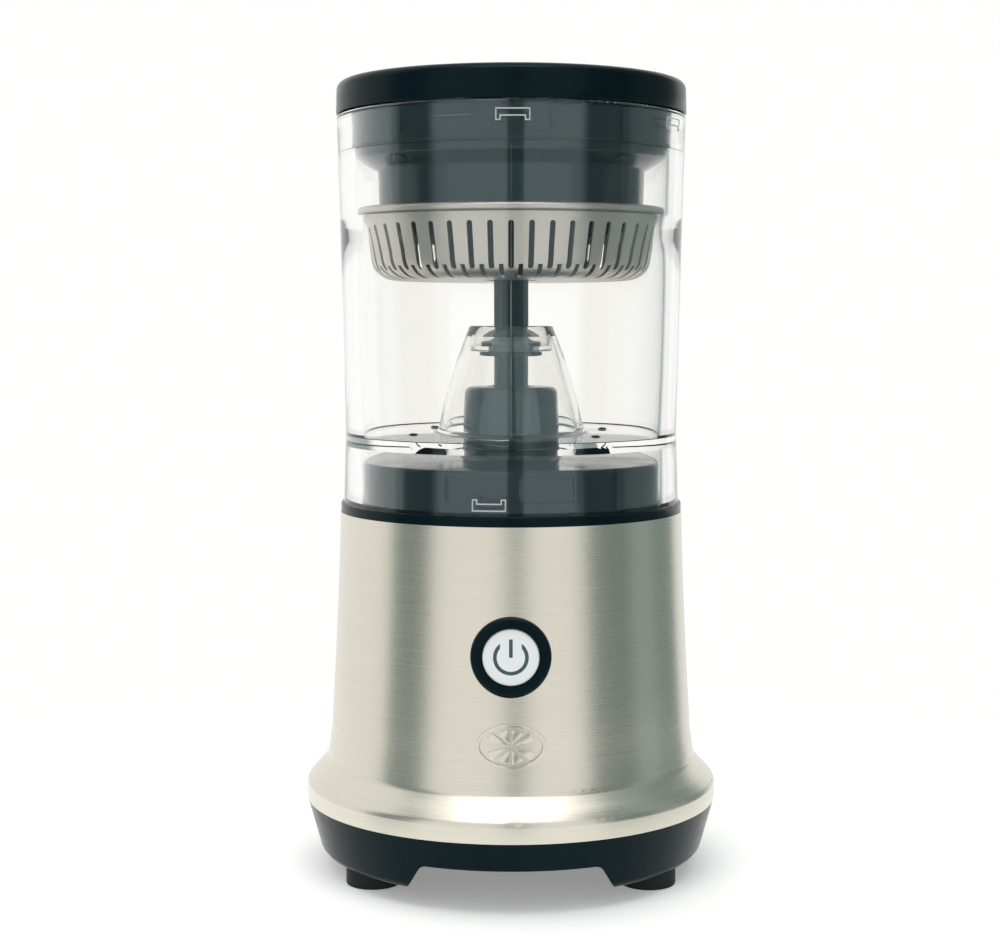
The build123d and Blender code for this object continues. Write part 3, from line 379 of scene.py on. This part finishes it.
def strainer_steel(finish):
    """Pressed sheet, brushed before pressing."""
    return brushed(finish, tuple(colours().basket_steel), 700, 0.2, 0.28, 0.12)


def plated_steel(finish):
    """Zinc-plated screws, pins and springs."""
    grain = finish.noise(500, 3)
    return principled(
        finish,
        Base_Color=finish.ramp(grain, (0.50, 0.50, 0.49), (0.66, 0.66, 0.64)),
        Metallic=1.0,
        Roughness=finish.spread(grain, 0.24, 0.4),
        Normal=finish.bump(grain, 0.1, 0.0001),
    )


def blackened_steel(finish):
    """Screws with a black oxide finish."""
    grain = finish.noise(700, 3)
    return principled(
        finish,
        Base_Color=finish.ramp(grain, (0.012, 0.014, 0.016), (0.03, 0.033, 0.036)),
        Metallic=0.6,
        Roughness=finish.spread(grain, 0.35, 0.5),
    )


def motor_steel(finish):
    """Drawn and plated motor can and pressed plate, with lines up its height."""
    lines = finish.noise(60, 4, (12, 12, 0.6))
    return principled(
        finish,
        Base_Color=finish.ramp(lines, (0.40, 0.41, 0.42), (0.56, 0.57, 0.57)),
        Metallic=1.0,
        Roughness=finish.spread(lines, 0.28, 0.42),
        Normal=finish.bump(lines, 0.15, 0.0001),
    )


def moulded_rubber(finish):
    """Matt rubber with a dusty bloom."""
    rubber = tuple(colours().rubber)
    bloom = finish.noise(120, 4)
    return principled(
        finish,
        Base_Color=finish.ramp(bloom, rubber, shade(rubber, 2.0)),
        Roughness=finish.spread(bloom, 0.5, 0.7),
        IOR=1.3,
        Normal=finish.bump(finish.noise(1800, 2), 0.2, 0.0002),
    )


def dark_silicone(finish):
    """Smooth dark silicone."""
    rubber = tuple(colours().rubber)
    cloud = finish.noise(90, 3)
    return principled(
        finish,
        Base_Color=finish.ramp(cloud, shade(rubber, 0.9), shade(rubber, 1.6)),
        Roughness=finish.spread(cloud, 0.32, 0.45),
        IOR=1.35,
        Normal=finish.bump(finish.noise(900, 2), 0.08, 0.0002),
    )


def button_silver(finish):
    """Pearl-silver lacquer on the button's face."""
    face = tuple(colours().button)
    pearl = finish.noise(3200, 2)
    return principled(
        finish,
        Base_Color=finish.ramp(pearl, shade(face, 0.93), shade(face, 1.05)),
        Metallic=0.35,
        Roughness=finish.spread(pearl, 0.26, 0.38),
        Normal=finish.bump(pearl, 0.05, 0.0001),
    )


def symbol_ink(finish):
    """Dark inlay of the power symbol."""
    ink = tuple(colours().symbol)
    cloud = finish.noise(700, 3)
    return principled(
        finish,
        Base_Color=finish.ramp(cloud, shade(ink, 0.85), shade(ink, 1.2)),
        Roughness=finish.spread(cloud, 0.3, 0.45),
    )


def sintered_bronze(finish):
    """Porous oil-filled bronze."""
    pores = finish.node("ShaderNodeTexVoronoi", inputs={"Vector": finish.place(), "Scale": 2500})
    return principled(
        finish,
        Base_Color=finish.ramp(pores, (0.24, 0.13, 0.05), (0.56, 0.36, 0.17), 0.05, 0.4),
        Metallic=1.0,
        Roughness=finish.spread(pores, 0.5, 0.32),
        Normal=finish.bump(pores, 0.3, 0.0002),
    )


def moulded_acetal(finish):
    """Waxy natural-coloured gears."""
    acetal = tuple(colours().acetal)
    cloud = finish.noise(80, 3)
    return principled(
        finish,
        Base_Color=finish.ramp(cloud, shade(acetal, 0.92), shade(acetal, 1.04)),
        Roughness=finish.spread(cloud, 0.3, 0.42),
        Normal=finish.bump(finish.noise(1200, 2), 0.06, 0.0002),
    )


def copper_winding(finish):
    """Varnished wire, wound in rows."""
    wave = finish.node(
        "ShaderNodeTexWave",
        {"bands_direction": "Z"},
        {"Vector": finish.place(), "Scale": 700, "Distortion": 0.6},
    )
    return principled(
        finish,
        Base_Color=finish.ramp(wave, (0.16, 0.05, 0.02), (0.62, 0.27, 0.11)),
        Metallic=0.8,
        Roughness=finish.spread(wave, 0.5, 0.28),
        Normal=finish.bump(wave, 0.6, 0.0003),
    )


def circuit_board(finish):
    """Green solder mask over a grid of tracks."""
    tracks = finish.node(
        "ShaderNodeTexBrick",
        {"offset": 0.5},
        {
            "Vector": finish.place(),
            "Scale": 160,
            "Mortar Size": 0.04,
            "Color1": (0.01, 0.09, 0.035),
            "Color2": (0.012, 0.11, 0.04),
            "Mortar": (0.03, 0.21, 0.08),
        },
    )
    return principled(
        finish, Base_Color=tracks, Roughness=finish.spread(finish.noise(300, 3), 0.25, 0.4)
    )


def filled_nylon(finish):
    """Grey glass-filled structural plastic."""
    fibres = finish.noise(500, 5, (1, 1, 0.3))
    return principled(
        finish,
        Base_Color=finish.ramp(fibres, (0.035, 0.037, 0.04), (0.075, 0.078, 0.082)),
        Roughness=finish.spread(fibres, 0.42, 0.6),
        Normal=finish.bump(fibres, 0.15, 0.0002),
    )


def pale_floor(finish):
    """A matt, near-white floor that the soft light fills, and that ends without an edge."""
    floor = tuple(colours().floor)
    cloud = finish.noise(3, 2)
    reach = finish.node(
        "ShaderNodeVectorMath", {"operation": "LENGTH"}, {0: finish.place()}, output=1
    )
    size = bpy.context.scene.juicer_stage.floor_size
    return principled(
        finish,
        Base_Color=finish.ramp(cloud, shade(floor, 0.995), floor),
        Roughness=0.9,
        Specular_IOR_Level=0.1,
        Emission_Color=(1.0, 1.0, 0.99),
        Emission_Strength=0.26,
        Alpha=finish.step(reach, size * 0.17, size * 0.42, 1.0, 0.0),
    )


# ------------------------------------------------------------------ modelling
def deselect():
    """Leaves edit mode with nothing selected."""
    if bpy.context.mode != "OBJECT":
        bpy.ops.object.mode_set(mode="OBJECT")
    bpy.ops.object.select_all(action="DESELECT")


def activate(piece):
    """Selects one piece alone and makes it active."""
    deselect()
    piece.select_set(True)
    bpy.context.view_layer.objects.active = piece


def apply_place(piece):
    """Puts a piece's place, turn and size into its mesh."""
    activate(piece)
    bpy.ops.object.transform_apply(location=True, rotation=True, scale=True)


def apply_modifier(piece, kind, **settings):
    """Adds one modifier and applies it."""
    activate(piece)
    modifier = piece.modifiers.new(kind.title(), kind)
    for key, value in settings.items():
        setattr(modifier, key, value)
    bpy.ops.object.modifier_apply(modifier=modifier.name)


def dress(piece, body, build):
    """Gives a finished piece its material and its body."""
    piece.data.materials.clear()
    piece.data.materials.append(material(build.__name__, build))
    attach(piece, body)


def skin(node, build, angle=32.0):
    """A welded, smooth-shaded copy of a node's mesh that stands for it."""
    activate(frame["nodes"][node])
    bpy.ops.object.duplicate()
    piece = bpy.context.view_layer.objects.active
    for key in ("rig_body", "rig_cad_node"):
        if key in piece:
            del piece[key]
    piece.parent = None
    piece.name = node + "_skin"
    bpy.ops.object.mode_set(mode="EDIT")
    bpy.ops.mesh.select_all(action="SELECT")
    bpy.ops.mesh.remove_doubles(threshold=NEAR)
    bpy.ops.object.mode_set(mode="OBJECT")
    if piece.data.has_custom_normals:
        bpy.ops.mesh.customdata_custom_splitnormals_clear()
    bpy.ops.object.shade_smooth_by_angle(angle=math.radians(angle))
    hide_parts(node)
    dress(piece, BODY_OF[node], build)
    return piece


def skins(build, *nodes):
    """Skins in the same finish."""
    for node in nodes:
        skin(node, build)


def lay_on(piece, node):
    """Moves each point along Y, so that the plane y = 0 lies on the front of a node."""
    surface = bpy.data.objects[node + "_skin"]
    clear_of_it = 0.01
    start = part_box(node)[0][1] - clear_of_it
    for vertex in piece.data.vertices:
        point = Vector((vertex.co.x, start, vertex.co.z))
        hit, place, _, _ = surface.ray_cast(point, Vector((0, 1, 0)))
        if not hit:
            raise RuntimeError("the relief misses " + node)
        vertex.co.y += place.y


def turn_about_axis(piece, turn):
    """Turns a piece about the juicer's axis, from the front towards the right, in degrees."""
    piece.matrix_world = Matrix.Rotation(math.radians(turn), 4, "Z")
    apply_place(piece)


def raise_relief(piece, relief):
    """Gives a flat outline in the XZ plane a rounded thickness."""
    apply_modifier(piece, "SOLIDIFY", thickness=relief, offset=0.0)
    rounding = relief * ROUNDING
    apply_modifier(piece, "BEVEL", width=rounding, segments=4, limit_method="ANGLE")
    activate(piece)
    bpy.ops.object.shade_smooth_by_angle(angle=math.radians(50))


def oval_ring(half_width, half_rise, line, middle):
    """A flat oval ring standing in the XZ plane."""
    deselect()
    bpy.ops.mesh.primitive_circle_add(
        vertices=96, radius=1.0, fill_type="NGON", rotation=FRONT_FACING
    )
    ring = bpy.context.object
    ring.scale = (half_width, half_rise, 1.0)
    ring.location = middle
    apply_place(ring)
    bpy.ops.object.mode_set(mode="EDIT")
    bpy.ops.mesh.select_all(action="SELECT")
    bpy.ops.mesh.inset(thickness=line)
    bpy.ops.mesh.delete(type="FACE")
    bpy.ops.object.mode_set(mode="OBJECT")
    return ring


def join(pieces, name):
    """Joins pieces into one, under a name."""
    deselect()
    for piece in pieces:
        piece.select_set(True)
    bpy.context.view_layer.objects.active = pieces[0]
    bpy.ops.object.join()
    pieces[0].name = name
    return pieces[0]


# ------------------------------------------------------------------ operators
class JUICER_OT_housing(Operator):
    """The brushed steel housing"""

    bl_idname = "juicer.housing"
    bl_label = "Steel housing"

    def execute(self, context):
        skin("steel_housing", housing_steel, 40)
        return {"FINISHED"}


class JUICER_OT_black_mouldings(Operator):
    """Gloss and satin black mouldings, outside and in"""

    bl_idname = "juicer.black_mouldings"
    bl_label = "Black mouldings"

    def execute(self, context):
        skins(gloss_black, "press_cup", "docking_platform", "press_plate")
        skins(satin_black, "reamer", "lid_cap", "collar_ring", "button_bezel", "base_tray")
        skins(satin_black, "drive_shaft", "switch_plunger", "push_switch", "motor_end_cap")
        return {"FINISHED"}


class JUICER_OT_jar(Operator):
    """The clear jar"""

    bl_idname = "juicer.jar"
    bl_label = "Clear jar"

    def execute(self, context):
        skins(clear_plastic, "jar_tube", "jar_base")
        return {"FINISHED"}


class JUICER_OT_strainer(Operator):
    """The pressed steel strainer"""

    bl_idname = "juicer.strainer"
    bl_label = "Strainer"

    def execute(self, context):
        skin("strainer", strainer_steel, 35)
        return {"FINISHED"}


class JUICER_OT_rubber(Operator):
    """Feet, seals, gasket and cord inlet"""

    bl_idname = "juicer.rubber"
    bl_label = "Rubber pieces"

    def execute(self, context):
        skins(moulded_rubber, "rubber_feet", "cord_inlet", "lip_seal")
        skins(dark_silicone, "shaft_seal", "lid_gasket")
        return {"FINISHED"}


class JUICER_OT_button(Operator):
    """The power button and its inlaid symbol"""

    bl_idname = "juicer.button"
    bl_label = "Power button"

    def execute(self, context):
        skin("power_button", button_silver)
        skin("power_symbol", symbol_ink)
        return {"FINISHED"}


class JUICER_OT_drive_train(Operator):
    """Motor, gears, bushes and the frame that holds them"""

    bl_idname = "juicer.drive_train"
    bl_label = "Drive train"

    def execute(self, context):
        skins(moulded_acetal, "first_gear", "second_gear", "output_gear")
        skins(sintered_bronze, "motor_pinion", "tower_bush", "output_bush")
        skins(motor_steel, "motor_can", "gearbox_plate")
        skins(filled_nylon, "inner_frame", "gearbox_cover")
        skins(copper_winding, "motor_armature")
        skins(circuit_board, "control_board")
        return {"FINISHED"}


class JUICER_OT_fasteners(Operator):
    """Screws, axles, shaft and the press spring"""

    bl_idname = "juicer.fasteners"
    bl_label = "Fasteners"

    def execute(self, context):
        skins(plated_steel, "tray_screws", "platform_screws", "gearbox_screws", "motor_screws")
        skins(plated_steel, "board_screws", "gear_axles", "motor_shaft")
        skins(blackened_steel, "lid_screws")
        skins(plated_steel, "press_retainer", "press_screw")
        self.spring()
        return {"FINISHED"}

    def spring(self):
        """The press spring in plated steel, with a mesh of its own; how far it would shorten at
        full travel is worked out but not applied.
        """
        spring = skin("press_spring", plated_steel)
        slide = next(joint for joint in frame["joints"] if joint["name"] == "press_slide")
        top = top_of("press_spring")
        free_length = top - bottom_of("press_spring")
        travel = max(abs(limit) for limit in slide["range_m"])
        keep = 1.0 - travel / free_length
        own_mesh(spring)


class JUICER_OT_badge(Operator):
    """An oval relief with a plain citrus slice, pressed out of the housing"""

    bl_idname = "juicer.badge"
    bl_label = "Oval relief"

    segments = 8

    def wedge(self, radius, turn, widen, middle):
        """One rounded segment of the slice, turned about the middle of the oval."""
        deselect()
        bpy.ops.mesh.primitive_circle_add(
            vertices=3, radius=radius * 0.31, fill_type="NGON", rotation=FRONT_FACING
        )
        made = bpy.context.object
        made.scale = (0.72, 1.35, 1.0)
        apply_place(made)
        apply_modifier(made, "BEVEL", affect="VERTICES", width=radius * 0.09, segments=3)
        made.location = (0.0, 0.0, -radius / 2)
        apply_place(made)
        stretch = Matrix.Diagonal((widen, 1.0, 1.0, 1.0))
        spin = Matrix.Rotation(turn, 4, "Y")
        made.matrix_world = Matrix.Translation(middle) @ stretch @ spin
        apply_place(made)
        return made

    def execute(self, context):
        sizes = context.scene.juicer_reliefs
        middle = (0.0, 0.0, sizes.badge_height)
        ridge = sizes.badge_relief * 1.1
        radius = sizes.badge_half_rise
        widen = sizes.badge_half_width / radius
        parts = [oval_ring(sizes.badge_half_width, radius, ridge, middle)]
        for index in range(self.segments):
            turn = (index + 0.5) * 2 * math.pi / self.segments
            parts.append(self.wedge(radius, turn, widen, middle))
        badge = join(parts, "oval_relief")
        raise_relief(badge, sizes.badge_relief * 2)
        lay_on(badge, "steel_housing")
        dress(badge, "base", relief_steel)
        return {"FINISHED"}


class JUICER_OT_lock_marks(Operator):
    """Raised outlines on the jar that show where it and the lid lock"""

    bl_idname = "juicer.lock_marks"
    bl_label = "Lock marks"

    foot_share = 0.16
    bar_share = 0.66

    def outline(self, sizes, name):
        """A bar with two feet, left as a raised outline."""
        deselect()
        bpy.ops.mesh.primitive_plane_add(size=1.0, rotation=FRONT_FACING)
        mark = bpy.context.object
        mark.name = name
        mark.scale = (sizes.mark_width, sizes.mark_rise * self.bar_share, 1.0)
        apply_place(mark)
        foot_start = sizes.mark_width * (0.5 - self.foot_share)
        bpy.ops.object.mode_set(mode="EDIT")
        for cut in (-foot_start, foot_start):
            bpy.ops.mesh.select_all(action="SELECT")
            bpy.ops.mesh.bisect(plane_co=(cut, 0, 0), plane_no=(1, 0, 0))
        bpy.ops.mesh.select_mode(type="EDGE")
        bpy.ops.mesh.select_all(action="DESELECT")
        bpy.ops.object.mode_set(mode="OBJECT")
        low = min(vertex.co.z for vertex in mark.data.vertices)
        for edge in mark.data.edges:
            ends = [mark.data.vertices[index].co for index in edge.vertices]
            middle = (ends[0] + ends[1]) / 2
            on_bottom = all(abs(end.z - low) < NEAR for end in ends)
            edge.select = on_bottom and abs(middle.x) > foot_start
        bpy.ops.object.mode_set(mode="EDIT")
        drop = (0, 0, -sizes.mark_rise * (1 - self.bar_share))
        bpy.ops.mesh.extrude_region_move(TRANSFORM_OT_translate={"value": drop})
        bpy.ops.mesh.select_mode(type="FACE")
        bpy.ops.mesh.select_all(action="SELECT")
        bpy.ops.mesh.inset(thickness=sizes.mark_line)
        bpy.ops.mesh.delete(type="FACE")
        bpy.ops.object.mode_set(mode="OBJECT")
        apply_modifier(mark, "SUBSURF", subdivision_type="SIMPLE", levels=2, render_levels=2)
        raise_relief(mark, sizes.mark_line)
        return mark

    def place(self, sizes, name, node, height, turn, upside_down=False):
        """Lays a mark on the jar, turned from the front by degrees."""
        mark = self.outline(sizes, name)
        if upside_down:
            mark.matrix_world = Matrix.Rotation(math.pi, 4, "Y")
            apply_place(mark)
        mark.location = (0, 0, height)
        apply_place(mark)
        lay_on(mark, node)
        turn_about_axis(mark, turn)
        dress(mark, "jar", frosted_clear)

    def execute(self, context):
        sizes = context.scene.juicer_reliefs
        collar = top_of("jar_tube") - sizes.mark_rise * 1.05
        skirt = bottom_of("jar_base") + sizes.mark_rise * 0.75
        self.place(sizes, "collar_mark_front", "jar_tube", collar, 0.5)
        self.place(sizes, "collar_mark_right", "jar_tube", collar, 64.0)
        self.place(sizes, "skirt_mark_front", "jar_base", skirt, -7.0, upside_down=True)
        return {"FINISHED"}


class JUICER_OT_seam(Operator):
    """A fine moulding seam down the front of the jar"""

    bl_idname = "juicer.seam"
    bl_label = "Moulding seam"

    def execute(self, context):
        sizes = context.scene.juicer_reliefs
        above_the_floor, below_the_collar, strips = 0.002, 0.014, 24
        bottom = bottom_of("jar_tube") + above_the_floor
        top = top_of("jar_tube") - below_the_collar
        deselect()
        bpy.ops.mesh.primitive_plane_add(size=1.0, rotation=FRONT_FACING)
        seam = bpy.context.object
        seam.name = "jar_seam"
        seam.scale = (sizes.seam_width, top - bottom, 1.0)
        seam.location = (0, 0, (bottom + top) / 2)
        apply_place(seam)
        bpy.ops.object.mode_set(mode="EDIT")
        for index in range(1, strips):
            bpy.ops.mesh.select_all(action="SELECT")
            level = bottom + (top - bottom) * index / strips
            bpy.ops.mesh.bisect(plane_co=(0, 0, level), plane_no=(0, 0, 1))
        bpy.ops.object.mode_set(mode="OBJECT")
        raise_relief(seam, sizes.seam_width * 0.5)
        lay_on(seam, "jar_tube")
        dress(seam, "jar", clear_plastic)
        return {"FINISHED"}


class JUICER_OT_floor_pips(Operator):
    """Low moulded pips on the jar's floor"""

    bl_idname = "juicer.floor_pips"
    bl_label = "Floor pips"

    def execute(self, context):
        sizes = context.scene.juicer_reliefs
        floor = bottom_of("jar_tube")
        first_turn, flatness, lift = 52.0, 0.4, 2e-5
        pips = []
        for index in range(sizes.pip_count):
            turn = math.radians(first_turn + 360.0 * index / sizes.pip_count)
            across, depth = sizes.pip_circle * math.sin(turn), -sizes.pip_circle * math.cos(turn)
            deselect()
            bpy.ops.mesh.primitive_uv_sphere_add(
                segments=20, ring_count=10, radius=sizes.pip_radius,
                location=(across, depth, floor),
            )
            pip = bpy.context.object
            pip.scale = (1.0, 1.0, flatness)
            apply_place(pip)
            bpy.ops.object.mode_set(mode="EDIT")
            bpy.ops.mesh.select_all(action="SELECT")
            bpy.ops.mesh.bisect(
                plane_co=(0, 0, floor + lift), plane_no=(0, 0, 1),
                clear_inner=True, use_fill=True,
            )
            bpy.ops.object.mode_set(mode="OBJECT")
            pips.append(pip)
        piece = join(pips, "floor_pips")
        bpy.ops.object.shade_smooth_by_angle(angle=math.radians(60))
        dress(piece, "jar", clear_plastic)
        return {"FINISHED"}


class JUICER_OT_stage(Operator):
    """A pale floor, soft studio light and the camera"""

    bl_idname = "juicer.stage"
    bl_label = "Stage"

    def floor(self, settings):
        """A small square floor, which fades out before its edge."""
        deselect()
        bpy.ops.mesh.primitive_plane_add(size=settings.floor_size)
        floor = bpy.context.object
        floor.name = "floor"
        floor.data.materials.append(material("pale_floor", pale_floor))

    def studio(self):
        """Bright soft boxes all round, with darker gaps between them."""
        world = bpy.data.worlds.new("studio")
        bpy.context.scene.world = world
        world.use_nodes = True
        finish = Finish(world.node_tree)
        direction = finish.node("ShaderNodeTexCoord", output="Generated")
        split = finish.node("ShaderNodeSeparateXYZ", inputs={0: direction})
        depth = Wire(finish, split.socket.node.outputs[1])
        up = Wire(finish, split.socket.node.outputs[2])
        bearing = split.math("ARCTAN2", depth * -1.0) * (180 / math.pi)

        def gap(middle, half, soft):
            """1 within half of a bearing, and 0 past a soft edge, in degrees."""
            away = abs(bearing - middle)
            return finish.step(away, half, half + soft, 1.0, 0.0)

        high = finish.step(up, 0.80, 0.86)
        dark = gap(66.0, 13.0, 6.0) * 0.76
        dark = dark + gap(94.0, 9.0, 8.0) * 0.60
        dark = dark + gap(122.0, 11.0, 8.0) * 0.72
        dark = dark + gap(-69.0, 12.0, 6.0) * 0.76
        dark = dark + gap(3.0, 4.0, 3.0) * 0.66
        light = 1.02 - dark * (1.0 - high)
        light = light + high * gap(0.0, 82.0, 10.0) * 0.6
        camera_ray = finish.node("ShaderNodeLightPath", output="Is Camera Ray")
        tinted = finish.node(
            "ShaderNodeMix", {"data_type": "RGBA"},
            {"Factor": light, 6: (0.72, 1.0, 1.0), 7: (1.0, 0.995, 0.985)}, output=2,
        )
        studio = finish.node("ShaderNodeBackground", inputs={"Color": tinted, "Strength": light})
        plain = finish.node("ShaderNodeBackground", inputs={"Color": (1.0, 1.0, 0.995)})
        mixed = finish.node("ShaderNodeMixShader", inputs={0: camera_ray, 1: studio, 2: plain})
        finish.node("ShaderNodeOutputWorld", inputs={"Surface": mixed})

    def soft_box(self, name, place, size, power):
        """A rectangular lamp aimed at the juicer's middle."""
        deselect()
        bpy.ops.object.light_add(type="AREA", location=place)
        lamp = bpy.context.object
        lamp.name = name
        lamp.data.shape = "RECTANGLE"
        lamp.data.size, lamp.data.size_y = size
        lamp.data.energy = power
        aim = Vector((0, 0, 0.12)) - Vector(place)
        lamp.rotation_euler = aim.to_track_quat("-Z", "Y").to_euler()

    def camera(self, settings):
        """A camera in front, a little above and looking slightly down."""
        deselect()
        bpy.ops.object.camera_add(location=(0.0, -settings.distance, settings.height))
        camera = bpy.context.object
        camera.name = "front_camera"
        camera.rotation_euler = (math.pi / 2 - settings.tilt, 0.0, settings.turn)
        camera.data.lens = settings.lens
        camera.data.sensor_width = 36.0
        camera.data.clip_start = 0.01
        bpy.context.scene.camera = camera

    def execute(self, context):
        settings = context.scene.juicer_stage
        self.floor(settings)
        self.studio()
        self.soft_box("top_soft_box", (0.0, -0.45, 1.2), (0.7, 0.35), 2.0)
        self.camera(settings)
        context.scene.view_settings.view_transform = "Standard"
        return {"FINISHED"}


class JUICER_PT_panel(Panel):
    """Lists the juicer's steps in the sidebar"""

    bl_idname = "JUICER_PT_panel"
    bl_label = "Citrus press juicer"
    bl_space_type = "VIEW_3D"
    bl_region_type = "UI"
    bl_category = "Juicer"

    def draw(self, context):
        for name in GROUPS:
            group = getattr(context.scene, name)
            box = self.layout.box()
            for key in group.__annotations__:
                box.prop(group, key)
        for step in STEPS:
            self.layout.operator(step.bl_idname)


STEPS = (
    JUICER_OT_stage,
    JUICER_OT_housing,
    JUICER_OT_black_mouldings,
    JUICER_OT_jar,
    JUICER_OT_strainer,
    JUICER_OT_rubber,
    JUICER_OT_button,
    JUICER_OT_drive_train,
    JUICER_OT_fasteners,
    JUICER_OT_badge,
    JUICER_OT_lock_marks,
    JUICER_OT_seam,
    JUICER_OT_floor_pips,
)
GROUPS = {
    "juicer_colours": JuicerColours,
    "juicer_reliefs": JuicerReliefs,
    "juicer_stage": JuicerStage,
}


def register():
    """Adds the settings, the steps and the panel."""
    for group in GROUPS.values():
        bpy.utils.register_class(group)
    for key, group in GROUPS.items():
        setattr(bpy.types.Scene, key, PointerProperty(type=group))
    for step in STEPS + (JUICER_PT_panel,):
        bpy.utils.register_class(step)


def unregister():
    """Takes them out again, in reverse."""
    for step in reversed(STEPS + (JUICER_PT_panel,)):
        bpy.utils.unregister_class(step)
    for key, group in GROUPS.items():
        delattr(bpy.types.Scene, key)
        bpy.utils.unregister_class(group)


def main():
    """Builds everything in order."""
    register()
    for step in STEPS:
        category, name = step.bl_idname.split(".")
        getattr(getattr(bpy.ops, category), name)()


if __name__ == "__main__":
    main()
